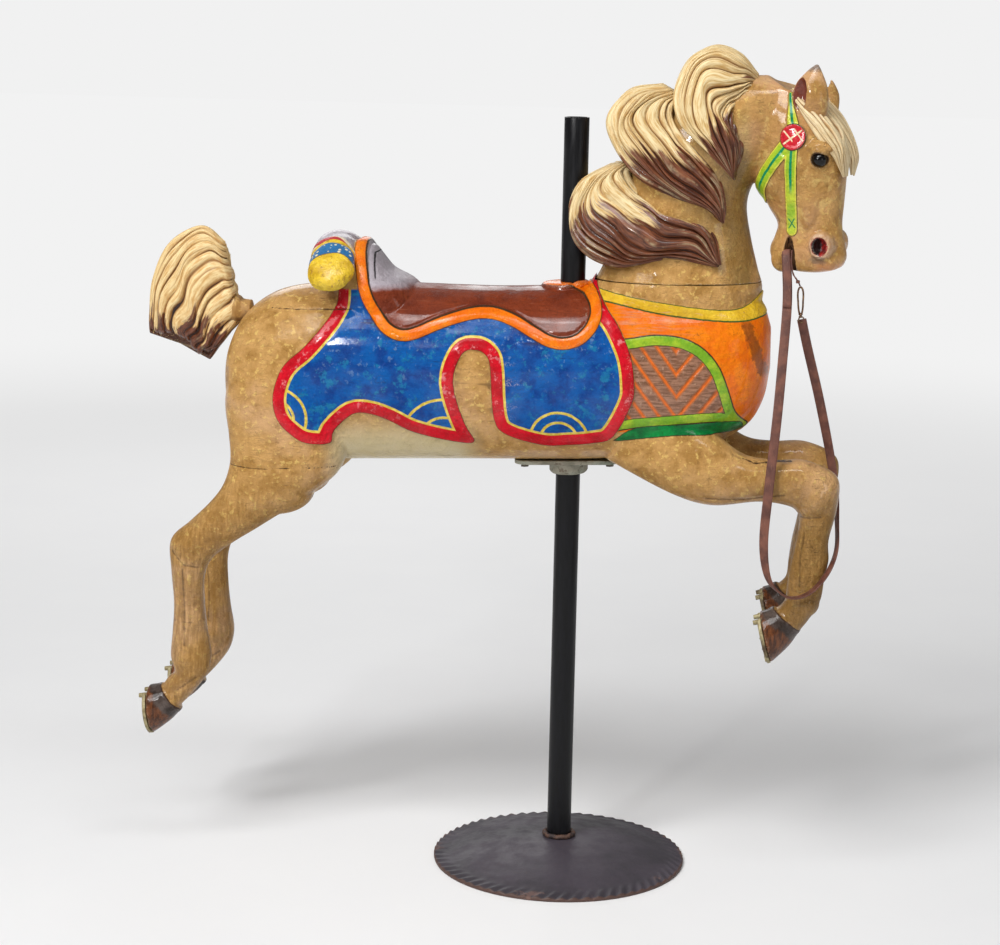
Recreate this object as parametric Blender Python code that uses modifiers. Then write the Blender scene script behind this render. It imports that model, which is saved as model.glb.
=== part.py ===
"""A carved wooden carousel horse on a steel pole, which stands on a dished steel disc.

World frame: metres, +Z up, +X towards the horse's head, -Y the side that faces the public.
The horse is drawn in its own frame, in steps: one step is one centimetre at the real size. Its origin
is where the pole's axis meets the belly line, and it is set on the pole a little nose up.
"""

import math

import bmesh
import bpy
import numpy as np
from mathutils import Matrix, Vector

# Driving dimensions of the stand, in metres
PIPE_OUTSIDE = 0.0483
PIPE_WALL = 0.0037
POLE_TOP = 1.499
DISC_RADIUS = 0.254
DISC_STEEL = 0.0045
DISC_CROWN = 0.048
FLUTE_COUNT = 64
FLUTE_LENGTH = 0.028
FLUTE_DEPTH = 0.004
RIM_FOOT = 0.006
WELD_WIDTH = 0.010
WELD_HEIGHT = 0.011

# Driving dimensions of the horse and its mounting, in metres
HORSE_LENGTH = 1.40
STEP = HORSE_LENGTH / 140
BELLY_HEIGHT = 0.8334
NOSE_UP = math.radians(2.5)
HEAD_TURN = math.radians(22)
EYE_RADIUS = 0.0145
TAIL_ROOT_RADIUS = 0.021
SHOE_THICKNESS = 0.007
SHOE_WIDTH = 0.014
CALK_LENGTH = 0.008
CALK_RADIUS = 0.0055

# Clamp plate under the belly, in metres
PLATE_LENGTH = 0.210
PLATE_WIDTH = 0.092
PLATE_THICKNESS = 0.008
BOSS_RADIUS = 0.038
BOSS_DROP = 0.031
BOLT_HEAD = 0.0085
BOLT_HEAD_HEIGHT = 0.006
BOLT_IN = 0.021
PIN_RADIUS = 0.0038
PIN_TAIL = 0.036

# Reins, in metres
REIN_WIDTH = 0.018
REIN_THICKNESS = 0.0035
HOOK_WIRE = 0.0018
THONG_RADIUS = 0.0014

# Room between pieces that touch
GAP = 0.0003

# Finish of the carved surface: the block grid it is cut on, and how far it is thinned
CARVING_GRID = 0.006
HORSE_FACES = 3600
TAIL_FACES = 620

# Outlines of the horse, in steps. A station is a front or upper point, the point across from it, and
# half the width there; a fourth value is the station's own distance from the middle.
TRUNK = [
    ((-67.6, 19.5), (-67.6, 14.5), 3.5),
    ((-66.4, 24.0), (-66.8, 9.0), 8.2),
    ((-63.8, 28.8), (-65.2, 3.5), 11.0),
    ((-59.5, 32.4), (-60.5, 0.8), 13.0),
    ((-54.0, 34.4), (-54.5, 0.2), 13.8),
    ((-45.0, 35.0), (-45.0, 0.0), 14.0),
    ((-30.0, 34.2), (-30.0, 0.0), 13.9),
    ((-12.0, 33.4), (-12.0, 0.0), 14.3),
    ((4.0, 33.6), (4.0, 0.0), 14.5),
    ((16.0, 33.4), (17.0, 0.6), 14.1),
    ((26.0, 33.0), (28.0, 2.6), 12.9),
    ((33.5, 32.4), (35.0, 6.6), 10.6),
    ((38.0, 30.4), (38.2, 11.5), 7.2),
    ((39.8, 25.6), (39.6, 17.6), 3.4),
]
NECK = [
    ((36.0, 25.0), (3.0, 25.0), 10.0),
    ((38.2, 32.6), (5.0, 33.4), 10.3),
    ((37.4, 37.0), (7.4, 38.0), 9.3),
    ((36.1, 43.0), (9.6, 44.6), 8.4),
    ((35.4, 49.6), (12.0, 53.0), 7.8),
    ((37.4, 54.6), (15.0, 61.0), 7.5),
    ((42.0, 59.0), (22.0, 69.0), 7.2),
    ((47.0, 63.0), (32.0, 73.4), 6.6),
    ((49.0, 67.0), (39.5, 73.8), 5.2),
]
# The head is drawn straight, from the pivot of its turn
HEAD_PIVOT = 40.7
HEAD = [
    ((8.5, 70.0), (-2.5, 73.2), 4.4),
    ((12.0, 64.6), (-4.5, 68.0), 6.4),
    ((14.2, 58.6), (-4.4, 60.0), 7.2),
    ((14.0, 53.6), (-2.6, 53.2), 6.4),
    ((13.7, 49.6), (-0.9, 49.2), 5.4),
    ((13.4, 46.0), (0.9, 46.0), 4.6),
    ((13.7, 43.4), (0.4, 43.6), 4.4),
    ((14.2, 41.0), (-0.6, 41.4), 4.6),
    ((14.3, 39.0), (-0.4, 39.3), 4.4),
    ((12.6, 37.2), (1.6, 37.4), 3.4),
    ((9.4, 36.5), (4.8, 36.7), 1.6),
]
CHEEK = ((2.6, 0.0, 55.0), (6.2, 6.9, 6.0))
BROW = ((11.2, 0.0, 60.6), (3.2, 7.2, 2.6))
EYE_PLACE = (11.4, 5.7, 58.3)
NOSTRIL = ((11.2, 4.6, 41.6), (1.5, 1.6, 1.7))
MOUTH = ((4.4, 4.9, 38.6), (1.6, 3.2, 5.2))
NEAR_EAR = [
    ((11.4, 64.6), (5.6, 67.4), 2.2, 3.8),
    ((12.0, 68.2), (5.8, 70.4), 2.4, 4.0),
    ((12.1, 71.4), (6.8, 73.0), 2.0, 4.0),
    ((11.2, 74.2), (8.6, 74.8), 1.1, 3.8),
    ((10.4, 75.9), (9.9, 75.9), 0.3, 3.7),
]
FAR_EAR = [
    ((11.4, 64.6), (5.6, 67.4), 2.2, 3.6),
    ((12.0, 67.6), (5.8, 69.6), 2.3, 4.6),
    ((11.9, 69.8), (7.0, 71.2), 1.8, 5.8),
    ((10.8, 71.8), (8.8, 72.2), 0.9, 6.8),
]
EAR_HOLLOW = ((7.4, 6.0, 70.6), (1.5, 1.5, 2.8))
FORELEG = [
    ((17.0, 12.0), (8.0, 1.0), 4.5, 7.0),
    ((28.0, 7.0), (20.5, -5.4), 6.0, 8.4),
    ((34.4, 2.4), (28.5, -7.6), 5.6, 9.4),
    ((40.0, 1.3), (37.5, -6.8), 4.6, 9.9),
    ((46.5, 1.2), (43.2, -7.6), 4.3, 10.0),
    ((52.6, -2.0), (45.0, -9.0), 4.1, 10.0),
    ((52.6, -8.0), (45.3, -11.0), 3.6, 10.0),
    ((51.0, -14.4), (44.6, -14.8), 3.0, 10.0),
    ((51.0, -18.4), (43.7, -18.6), 2.9, 10.0),
    ((50.2, -22.0), (43.1, -22.4), 3.1, 10.0),
    ((49.4, -26.4), (42.6, -26.2), 3.1, 10.0),
    ((47.0, -30.4), (41.2, -27.8), 2.9, 10.0),
    ((44.9, -32.9), (40.6, -28.4), 3.0, 10.0),
]
FORE_HOOF = [
    ((45.6, -32.2), (40.4, -27.6), 3.2, 10.0),
    ((43.4, -35.4), (38.9, -28.4), 3.8, 10.0),
    ((39.9, -38.8), (37.7, -28.6), 4.5, 10.0),
]
HIND_LEG = [
    ((-42.0, 20.0), (-65.4, 20.0), 7.2, 6.6),
    ((-41.6, 12.0), (-67.0, 13.0), 7.7, 7.1),
    ((-42.5, 4.0), (-66.4, 6.0), 7.3, 7.7),
    ((-45.0, -1.8), (-66.2, 1.0), 6.6, 8.5),
    ((-52.0, -6.8), (-67.6, -3.6), 5.6, 9.4),
    ((-60.0, -11.8), (-70.4, -7.2), 4.7, 9.8),
    ((-66.4, -15.6), (-74.6, -11.0), 4.1, 10.0),
    ((-70.6, -18.8), (-78.6, -14.6), 3.7, 10.0),
    ((-72.3, -22.6), (-78.9, -20.4), 3.1, 10.0),
    ((-72.5, -28.0), (-78.7, -27.6), 2.7, 10.0),
    ((-72.2, -33.4), (-79.3, -33.6), 2.8, 10.0),
    ((-71.7, -38.4), (-79.9, -38.6), 3.2, 10.0),
    ((-72.8, -42.6), (-79.2, -41.8), 3.0, 10.0),
    ((-75.8, -46.4), (-80.6, -43.0), 2.8, 10.0),
    ((-78.8, -49.4), (-82.2, -45.4), 2.9, 10.0),
]
HIND_HOOF = [
    ((-78.2, -49.8), (-82.0, -44.6), 3.2, 10.0),
    ((-80.6, -52.2), (-83.8, -44.8), 3.9, 10.0),
    ((-84.2, -54.8), (-84.9, -45.0), 4.5, 10.0),
]

# Locks: the upper edge, the lower edge, then place across and half width from root to tip
FORELOCK = (
    [(4.5, 72.2), (8.6, 70.2), (12.2, 66.4), (14.8, 62.2), (15.6, 58.6), (14.6, 55.8)],
    [(4.5, 70.4), (6.6, 67.0), (8.8, 63.6), (11.0, 60.6), (12.8, 58.4), (14.2, 56.6)],
    [1.0, 1.6, 2.2, 2.6, 2.4, 1.6],
    [2.6, 4.4, 4.4, 3.6, 2.6, 1.2],
)
FAR_FORELOCK = (
    [(4.5, 71.8), (8.6, 69.8), (12.2, 66.4), (14.8, 62.0), (16.0, 58.2), (15.4, 54.8)],
    [(6.0, 70.0), (8.0, 67.6), (10.4, 64.6), (12.8, 61.2), (14.2, 58.2), (14.9, 55.4)],
    [-0.6, -1.2, -1.6, -1.8, -1.8, -1.6],
    [2.4, 3.6, 3.6, 3.0, 2.2, 1.0],
)
UPPER_LOCK = (
    [(37.6, 74.2), (34.0, 78.2), (29.2, 79.9), (24.3, 77.6), (22.0, 71.6), (23.4, 66.0), (27.0, 61.4), (33.1, 54.8)],
    [(37.6, 72.2), (34.6, 73.2), (31.0, 73.2), (29.4, 70.8), (31.0, 67.8), (33.6, 64.4), (34.8, 60.0), (33.6, 54.4)],
    [0.4, 0.6, 0.8, 1.4, 2.6, 4.2, 5.8, 7.6],
    [2.6, 4.2, 5.2, 5.8, 5.8, 5.0, 3.6, 1.3],
)
MIDDLE_LOCK = (
    [(24.0, 70.0), (21.6, 68.0), (20.8, 64.4), (23.2, 60.4), (26.4, 57.6), (29.2, 53.6), (31.3, 49.2), (31.3, 46.6)],
    [(19.0, 72.4), (13.0, 71.2), (9.2, 66.6), (10.2, 61.6), (14.4, 55.0), (21.0, 50.8), (27.0, 48.6), (30.6, 46.4)],
    [0.0, 0.6, 1.0, 1.8, 3.2, 4.8, 6.4, 7.8],
    [4.8, 5.6, 6.2, 6.2, 5.6, 4.6, 3.2, 1.3],
)
LOWER_LOCK = (
    [(15.0, 58.6), (13.2, 56.0), (14.6, 52.6), (18.6, 50.4), (23.6, 48.2), (28.4, 44.6), (30.6, 38.8)],
    [(9.0, 57.2), (3.4, 54.0), (1.2, 48.6), (3.0, 42.4), (9.4, 38.4), (19.0, 39.6), (29.8, 38.2)],
    [0.0, 0.4, 1.0, 2.4, 4.2, 6.2, 8.2],
    [4.6, 5.6, 6.4, 6.4, 5.6, 3.8, 1.3],
)
TAIL = (
    [(-67.4, 45.0), (-72.2, 46.8), (-78.4, 43.4), (-82.3, 36.4), (-83.4, 29.4), (-83.9, 25.2)],
    [(-65.4, 28.8), (-66.4, 27.4), (-67.6, 26.0), (-68.8, 24.2), (-70.2, 22.0), (-71.2, 20.2)],
    [0.0, 0.0, 0.0, 0.0, 0.0, 0.0],
    [2.6, 3.4, 3.9, 3.8, 3.2, 2.2],
)
TAIL_ROOT = ((-69.0, 29.8), (-62.6, 29.8))

# Saddle: the cantle's profile from the seat over its top and down behind, and its half width
CANTLE = [
    ((-31.0, 30.0), (-47.0, 30.0), 11.8),
    ((-32.6, 34.0), (-46.2, 33.4), 11.6),
    ((-34.6, 36.0), (-44.0, 35.2), 11.0),
    ((-36.8, 39.4), (-42.0, 38.8), 10.0),
    ((-37.8, 42.2), (-41.6, 41.8), 8.2),
    ((-38.8, 44.0), (-41.2, 43.8), 5.2),
]
BEDROLL_PATH = [(-44.4, 13.6, 36.8), (-44.2, 10.2, 38.2), (-44.0, 5.4, 39.3), (-43.8, 0.0, 39.6)]
BEDROLL_RADII = [4.4, 4.6, 5.2, 5.4]
POLE_COLLAR_RADIUS = 4.2
POLE_COLLAR_TOP = 34.3
POLE_COLLAR_FOOT = 31.0

# Route of the rein, chosen by hand, in steps, each point with the angle that its width makes with
# the horse's length
REIN_ROUTE = [
    ((42.8, -5.6, 41.5), 0),
    ((43.0, -7.3, 38.0), 0),
    ((43.1, -8.2, 31.0), 0),
    ((42.2, -11.8, 20.0), 0),
    ((41.2, -14.6, 9.6), 0),
    ((39.6, -16.4, -4.0), 5),
    ((38.7, -16.2, -13.8), 20),
    ((39.4, -15.6, -20.4), 45),
    ((41.6, -15.2, -23.6), 65),
    ((44.4, -14.9, -24.7), 75),
    ((47.6, -14.4, -23.6), 70),
    ((50.6, -12.4, -20.6), 70),
    ((52.4, -9.0, -16.8), 75),
    ((52.6, -5.0, -12.0), 70),
    ((52.2, -2.4, -6.0), 40),
    ((51.2, -1.2, 1.0), 20),
    ((49.1, -1.8, 12.0), 0),
    ((46.9, -3.4, 22.0), 0),
    ((45.8, -4.4, 27.6), 0),
]
BILLET_TOP = 39.0
BILLET_FOOT = 30.4
HOOK_FOOT = (45.6, -4.6, 28.4)
HOOK_LENGTH = 5.4
HOOK_WIDTH = 1.5
THONG_ROUTE = [(44.0, -5.2, 41.0), (43.9, -6.0, 38.8), (44.2, -6.3, 36.6), (45.0, -5.5, 35.2), (45.5, -4.8, 34.1)]

# Colours, roughness and metal of the materials
PAINT_TAN = ((0.52, 0.35, 0.17), 0.35, 0.0)
TAIL_CREAM = ((0.62, 0.46, 0.24), 0.4, 0.0)
GLASS_BLACK = ((0.01, 0.008, 0.008), 0.05, 0.0)
POLE_BLACK = ((0.015, 0.015, 0.018), 0.4, 0.6)
DISC_BLACK = ((0.05, 0.045, 0.05), 0.45, 0.6)
CAST_GREY = ((0.28, 0.31, 0.26), 0.55, 0.3)
SHOE_STEEL = ((0.42, 0.40, 0.33), 0.5, 0.7)
BOLT_STEEL = ((0.30, 0.31, 0.27), 0.5, 0.7)
PIN_STEEL = ((0.16, 0.12, 0.10), 0.5, 0.8)
LEATHER = ((0.11, 0.045, 0.025), 0.55, 0.0)
HOOK_BRASS = ((0.16, 0.10, 0.07), 0.45, 0.8)


def clear_scene():
    for obj in list(bpy.data.objects):
        bpy.data.objects.remove(obj, do_unlink=True)


def collection(name):
    made = bpy.data.collections.new(name)
    bpy.context.scene.collection.children.link(made)
    return made


def material(name, look):
    colour, roughness, metal = look
    made = bpy.data.materials.new(name)
    made.use_nodes = True
    shader = made.node_tree.nodes["Principled BSDF"]
    shader.inputs["Base Color"].default_value = (*colour, 1.0)
    shader.inputs["Roughness"].default_value = roughness
    shader.inputs["Metallic"].default_value = metal
    made.diffuse_color = (*colour, 1.0)
    return made


def horse_frame():
    """From steps in the horse's frame to metres in the world."""
    place = Matrix.Translation((0, 0, BELLY_HEIGHT))
    return place @ Matrix.Rotation(-NOSE_UP, 4, "Y") @ Matrix.Scale(STEP, 4)


def head_frame():
    """From the straight head's steps to the horse's steps: the head is turned towards the public."""
    return Matrix.Translation((HEAD_PIVOT, 0, 0)) @ Matrix.Rotation(-HEAD_TURN, 4, "Z")


def smooth_rows(rows, per):
    """A Catmull-Rom curve through rows of numbers, with so many pieces between one row and the next."""
    rows = np.asarray(rows, float)
    ends = np.vstack([2 * rows[0] - rows[1], rows, 2 * rows[-1] - rows[-2]])
    out = []
    for a, b, c, d in zip(ends, ends[1:], ends[2:], ends[3:]):
        for t in np.arange(per) / per:
            out.append(
                0.5 * (2 * b + (c - a) * t + (2 * a - 5 * b + 4 * c - d) * t**2 + (3 * b - a - 3 * c + d) * t**3)
            )
    out.append(rows[-1])
    return np.array(out)


def skin(body, rings):
    """Joins rings of points, each as long as the next, into a closed body with flat ends."""
    loops = [[body.verts.new(point) for point in ring] for ring in rings]
    for low, high in zip(loops, loops[1:]):
        count = len(low)
        for i in range(count):
            j = (i + 1) % count
            body.faces.new((low[i], low[j], high[j], high[i]))
    body.faces.new(loops[0][::-1])
    body.faces.new(loops[-1])


def oval_rings(rows, sides, power):
    """One ring for each row of front x, front z, back x, back z, half width and place across."""
    turns = np.linspace(0, 2 * np.pi, sides, endpoint=False)
    along = np.sign(np.cos(turns)) * np.abs(np.cos(turns)) ** (2 / power)
    across = np.sign(np.sin(turns)) * np.abs(np.sin(turns)) ** (2 / power)
    rings = []
    for front_x, front_z, back_x, back_z, half, place in rows:
        middle = np.array([(front_x + back_x) / 2, place, (front_z + back_z) / 2])
        reach = np.array([(front_x - back_x) / 2, 0, (front_z - back_z) / 2])
        side = np.array([0, max(half, 0.05), 0])
        rings.append(middle + along[:, None] * reach + across[:, None] * side)
    return rings


def loft(body, stations, frame, sides=20, per=3, power=2.2, side=1):
    """A smooth body through the stations. A station's place across is mirrored where side is -1."""
    rows = [(*s[0], *s[1], s[2], side * (s[3] if len(s) > 3 else 0)) for s in stations]
    rings = oval_rings(smooth_rows(rows, per), sides, power)
    skin(body, [[frame @ Vector(point) for point in ring] for ring in rings])


def ball(body, centre, radii, frame, side=1, sides=12):
    place = Matrix.Translation((centre[0], side * centre[1], centre[2]))
    size = Matrix.Diagonal((*radii, 1))
    bmesh.ops.create_uvsphere(
        body, u_segments=sides, v_segments=sides * 2 // 3, radius=1, matrix=frame @ place @ size
    )


def tube_rings(path, radii, sides):
    """Rings square to the path. The rings of a path stay level with the horse's width."""
    path = np.asarray(path, float)
    ahead = np.gradient(path, axis=0)
    turns = np.linspace(0, 2 * np.pi, sides, endpoint=False)
    rings = []
    for point, way, radius in zip(path, ahead, radii):
        way = way / np.linalg.norm(way)
        side = np.array([0, 1.0, 0]) - way[1] * way
        side /= np.linalg.norm(side)
        lift = np.cross(way, side)
        rings.append(point + radius * (np.outer(np.cos(turns), side) + np.outer(np.sin(turns), lift)))
    return rings


def lock(body, shape, frame, strands):
    """A lock of hair: a flat oval core between two edges, ridged on its sides by strands along it."""
    upper, lower, places, halves = shape
    stations = [(*u, *l, half, place) for u, l, half, place in zip(upper, lower, halves, np.negative(places))]
    rows = smooth_rows(stations, 4)
    rings = oval_rings(rows, 16, 2.0)
    skin(body, [[frame @ Vector(point) for point in ring] for ring in rings])
    steps = np.linspace(0, 1, len(rows))
    swell = np.clip(np.minimum(1.4 * steps + 0.55, 3.2 * (1 - steps) + 0.25), 0, 1)
    for side in (-1, 1):
        for k in range(strands):
            angle = math.radians(12 + 156 * k / (strands - 1))
            path = []
            radii = []
            for row, full in zip(rows, swell):
                middle = np.array([(row[0] + row[2]) / 2, row[5], (row[1] + row[3]) / 2])
                edge = np.array([(row[0] - row[2]) / 2, 0, (row[1] - row[3]) / 2])
                reach = np.linalg.norm(edge)
                radius = full * 0.33 * np.pi * (reach + row[4]) / strands
                sunk = max(1 - 0.8 * radius / reach, 0.3)
                out = np.array([0, side * (row[4] - 0.6 * radius), 0])
                path.append(middle + math.cos(angle) * edge * sunk + math.sin(angle) * out)
                radii.append(radius)
            rings = tube_rings(path, radii, 8)
            skin(body, [[frame @ Vector(point) for point in ring] for ring in rings])


def bedroll(body, frame):
    """The rolled blanket behind the seat, bent over the horse's back from side to side."""
    half = [(*p, r) for p, r in zip(BEDROLL_PATH, BEDROLL_RADII)]
    whole = half + [(x, -y, z, r) for x, y, z, r in half[-2::-1]]
    rows = smooth_rows(whole, 3)
    rings = []
    turns = np.linspace(0, 2 * np.pi, 16, endpoint=False)
    for x, y, z, radius in rows:
        lean = math.radians(-32) * y / BEDROLL_PATH[0][1]
        across = np.array([0, math.sin(lean), math.cos(lean)])
        ahead = np.array([1.0, 0, 0])
        rings.append(
            np.array([x, y, z]) + radius * (np.outer(np.cos(turns), ahead) + np.outer(np.sin(turns), across))
        )
    skin(body, [[frame @ Vector(point) for point in ring] for ring in rings])


def new_object(name, mesh, home, look=None):
    obj = bpy.data.objects.new(name, mesh)
    home.objects.link(obj)
    if look:
        mesh.materials.append(material(name, look))
    return obj


def finished(body, name):
    bmesh.ops.recalc_face_normals(body, faces=body.faces)
    mesh = bpy.data.meshes.new(name)
    body.to_mesh(mesh)
    body.free()
    return mesh


def carved(name, body, home, look, faces):
    """Melts the lofts into one skin, as a carver blends them, and thins it to so many triangles."""
    obj = new_object(name, finished(body, name), home, look)
    melt = obj.modifiers.new("Melt", "REMESH")
    melt.mode = "VOXEL"
    melt.voxel_size = CARVING_GRID
    blend = obj.modifiers.new("Blend", "SMOOTH")
    blend.factor = 0.5
    blend.iterations = 2
    thin = obj.modifiers.new("Thin", "DECIMATE")
    bpy.context.view_layer.update()
    fine = obj.evaluated_get(bpy.context.evaluated_depsgraph_get()).to_mesh()
    fine.calc_loop_triangles()
    thin.ratio = min(1.0, faces / len(fine.loop_triangles))
    thin.use_collapse_triangulate = True
    return obj


def cutter(name, body, home):
    obj = new_object(name, finished(body, name), home)
    obj.hide_render = True
    obj.display_type = "WIRE"
    return obj


def cut(obj, tool, operation="DIFFERENCE"):
    modifier = obj.modifiers.new(tool.name, "BOOLEAN")
    modifier.operation = operation
    modifier.solver = "EXACT"
    modifier.object = tool


def cylinder(body, radius, low, high, matrix=Matrix(), sides=32):
    """A cylinder between two heights of the matrix's own z axis."""
    middle = Matrix.Translation((0, 0, (low + high) / 2))
    bmesh.ops.create_cone(
        body,
        cap_ends=True,
        segments=sides,
        radius1=radius,
        radius2=radius,
        depth=high - low,
        matrix=matrix @ middle,
    )


def hoof_plane(hoof, side):
    """Middle of the sole and its axes in the world: outwards from the sole, then towards the toe."""
    frame = horse_frame()
    toe = frame @ Vector((hoof[-1][0][0], side * hoof[-1][3], hoof[-1][0][1]))
    heel = frame @ Vector((hoof[-1][1][0], side * hoof[-1][3], hoof[-1][1][1]))
    forward = (toe - heel).normalized()
    across = Vector((0, 1, 0))
    down = forward.cross(across).normalized()
    coronet = frame @ Vector(((hoof[0][0][0] + hoof[0][1][0]) / 2, side * hoof[0][3], hoof[0][0][1]))
    if down.dot((toe + heel) / 2 - coronet) < 0:
        down = -down
    return (toe + heel) / 2, forward, down, (toe - heel).length / 2


def hoof_matrix(hoof, side):
    """A frame on the sole: x towards the toe, z outwards from the sole."""
    middle, forward, down, reach = hoof_plane(hoof, side)
    across = down.cross(forward)
    turn = Matrix((forward, across, down)).transposed().to_4x4()
    return Matrix.Translation(middle) @ turn, reach


def horseshoe(name, hoof, side, home):
    """An open shoe under the sole: a bent bar with a calk at each heel and one at the toe."""
    matrix, reach = hoof_matrix(hoof, side)
    half = hoof[-1][2] * STEP
    turns = np.radians(np.linspace(-145, 145, 13))
    outer = [Vector((reach * math.cos(t), half * math.sin(t), 0)) for t in turns]
    inner = [
        Vector(((reach - SHOE_WIDTH) * math.cos(t), (half - SHOE_WIDTH) * math.sin(t), 0)) for t in turns
    ]
    body = bmesh.new()
    rings = []
    for out, into in zip(outer, inner):
        low = Vector((0, 0, GAP))
        high = Vector((0, 0, GAP + SHOE_THICKNESS))
        rings.append([matrix @ (out + low), matrix @ (out + high), matrix @ (into + high), matrix @ (into + low)])
    skin(body, rings)
    shoe = new_object(name, finished(body, name), home, SHOE_STEEL)
    heels = [(outer[i] + inner[i]) / 2 for i in (0, -1, len(outer) // 2)]
    for number, spot in enumerate(heels):
        knob = bmesh.new()
        cylinder(
            knob,
            CALK_RADIUS,
            GAP + SHOE_THICKNESS / 2,
            GAP + SHOE_THICKNESS + (CALK_LENGTH if number < 2 else CALK_LENGTH / 3),
            matrix @ Matrix.Translation(spot),
            8,
        )
        cut(shoe, cutter(f"{name}_calk_{number}", knob, CUTTERS), "UNION")
    return shoe


def horse(home):
    frame = horse_frame()
    head = frame @ head_frame()
    body = bmesh.new()
    loft(body, TRUNK, frame, sides=28, power=2.35)
    loft(body, NECK, frame, sides=24, power=2.1)
    loft(body, HEAD, head, sides=24, power=2.3)
    ball(body, *CHEEK, head, sides=24)
    ball(body, *BROW, head, sides=24)
    for side in (-1, 1):
        loft(body, FORELEG, frame, side=side)
        loft(body, FORE_HOOF, frame, side=side, power=2.0)
        loft(body, HIND_LEG, frame, side=side)
        loft(body, HIND_HOOF, frame, side=side, power=2.0)
    loft(body, NEAR_EAR, head, sides=12, side=-1, power=2.0)
    loft(body, FAR_EAR, head, sides=12, side=1, power=2.0)
    loft(body, CANTLE, frame, sides=24, power=2.4)
    bedroll(body, frame)
    cylinder(body, POLE_COLLAR_RADIUS, POLE_COLLAR_FOOT, POLE_COLLAR_TOP, frame)
    for shape in (UPPER_LOCK, MIDDLE_LOCK, LOWER_LOCK):
        lock(body, shape, frame, 7)
    for shape in (FORELOCK, FAR_FORELOCK):
        lock(body, shape, head, 5)
    obj = carved("horse", body, home, PAINT_TAN, HORSE_FACES)
    cut(obj, horse_cutters(frame, head))
    return obj


def horse_cutters(frame, head):
    """Everything that is bored or cut out of the horse: pole, eyes, nostrils, mouth, ears, soles, tail."""
    parts = bmesh.new()
    cylinder(parts, PIPE_OUTSIDE / 2 + GAP, BELLY_HEIGHT - 0.1, POLE_TOP)
    for side in (-1, 1):
        eye = Matrix.Diagonal((1, side, 1, 1))
        place = (head @ eye) @ Vector((EYE_PLACE[0], EYE_PLACE[1], EYE_PLACE[2]))
        bmesh.ops.create_uvsphere(
            parts, u_segments=12, v_segments=8, radius=EYE_RADIUS + GAP, matrix=Matrix.Translation(place)
        )
        ball(parts, *NOSTRIL, head, side)
        ball(parts, *MOUTH, head, side)
        ball(parts, *EAR_HOLLOW, head, side)
        for hoof in (FORE_HOOF, HIND_HOOF):
            matrix, reach = hoof_matrix(hoof, side)
            cylinder(parts, reach * 1.5, 0, reach, matrix)
    tail_seat(parts, frame, TAIL_ROOT_RADIUS + GAP, TAIL_ROOT[1][0] * STEP + GAP)
    return cutter("horse_cuts", parts, CUTTERS)


def tail_seat(body, frame, radius, end):
    """The round root of the tail, or the seat that it stands in, lying along the horse."""
    lying = Matrix.Rotation(math.radians(90), 4, "Y")
    root = frame @ Matrix.Scale(1 / STEP, 4) @ Matrix.Translation((0, 0, TAIL_ROOT[0][1] * STEP)) @ lying
    cylinder(body, radius, TAIL_ROOT[0][0] * STEP, end, root, 20)


def tail(home):
    frame = horse_frame()
    body = bmesh.new()
    lock(body, TAIL, frame, 8)
    tail_seat(body, frame, TAIL_ROOT_RADIUS, TAIL_ROOT[1][0] * STEP)
    return carved("tail", body, home, TAIL_CREAM, TAIL_FACES)


def eye(name, side, home):
    body = bmesh.new()
    place = horse_frame() @ head_frame() @ Vector((EYE_PLACE[0], side * EYE_PLACE[1], EYE_PLACE[2]))
    bmesh.ops.create_uvsphere(
        body, u_segments=12, v_segments=8, radius=EYE_RADIUS, matrix=Matrix.Translation(place)
    )
    return new_object(name, finished(body, name), home, GLASS_BLACK)


def pole(home):
    """The steel pipe, open at both ends, with the cross hole for its pin."""
    outside = PIPE_OUTSIDE / 2
    inside = outside - PIPE_WALL
    foot = DISC_CROWN + GAP
    profile = [(outside, POLE_TOP), (outside, foot), (inside, foot), (inside, POLE_TOP)]
    mesh = bpy.data.meshes.new("pole")
    edges = [(i, (i + 1) % len(profile)) for i in range(len(profile))]
    mesh.from_pydata([(r, 0, z) for r, z in profile], edges, [])
    obj = new_object("pole", mesh, home, POLE_BLACK)
    turn = obj.modifiers.new("Turn", "SCREW")
    turn.steps = 24
    turn.render_steps = 24
    turn.use_merge_vertices = True
    turn.merge_threshold = 0.0001
    cut(obj, PIN_HOLE)
    return obj


def disc_top(radius):
    """Height of the disc's upper face without its flutes."""
    return DISC_STEEL + (DISC_CROWN - DISC_STEEL) * (1 - (radius / DISC_RADIUS) ** 2)


def bridge(body, near, far):
    """Faces between two rings, where one may have several times the points of the other."""
    if len(far) > len(near):
        near, far = far, near
    share = len(near) // len(far)
    for k, spot in enumerate(far):
        following = far[(k + 1) % len(far)]
        fine = [near[(k * share + i) % len(near)] for i in range(share + 1)]
        half = share // 2
        for i in range(share):
            if i < half or share == 1:
                body.faces.new((spot, fine[i], fine[i + 1]))
            else:
                body.faces.new((following, fine[i], fine[i + 1]))
        body.faces.new((spot, fine[half if share > 1 else 1], following))


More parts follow.
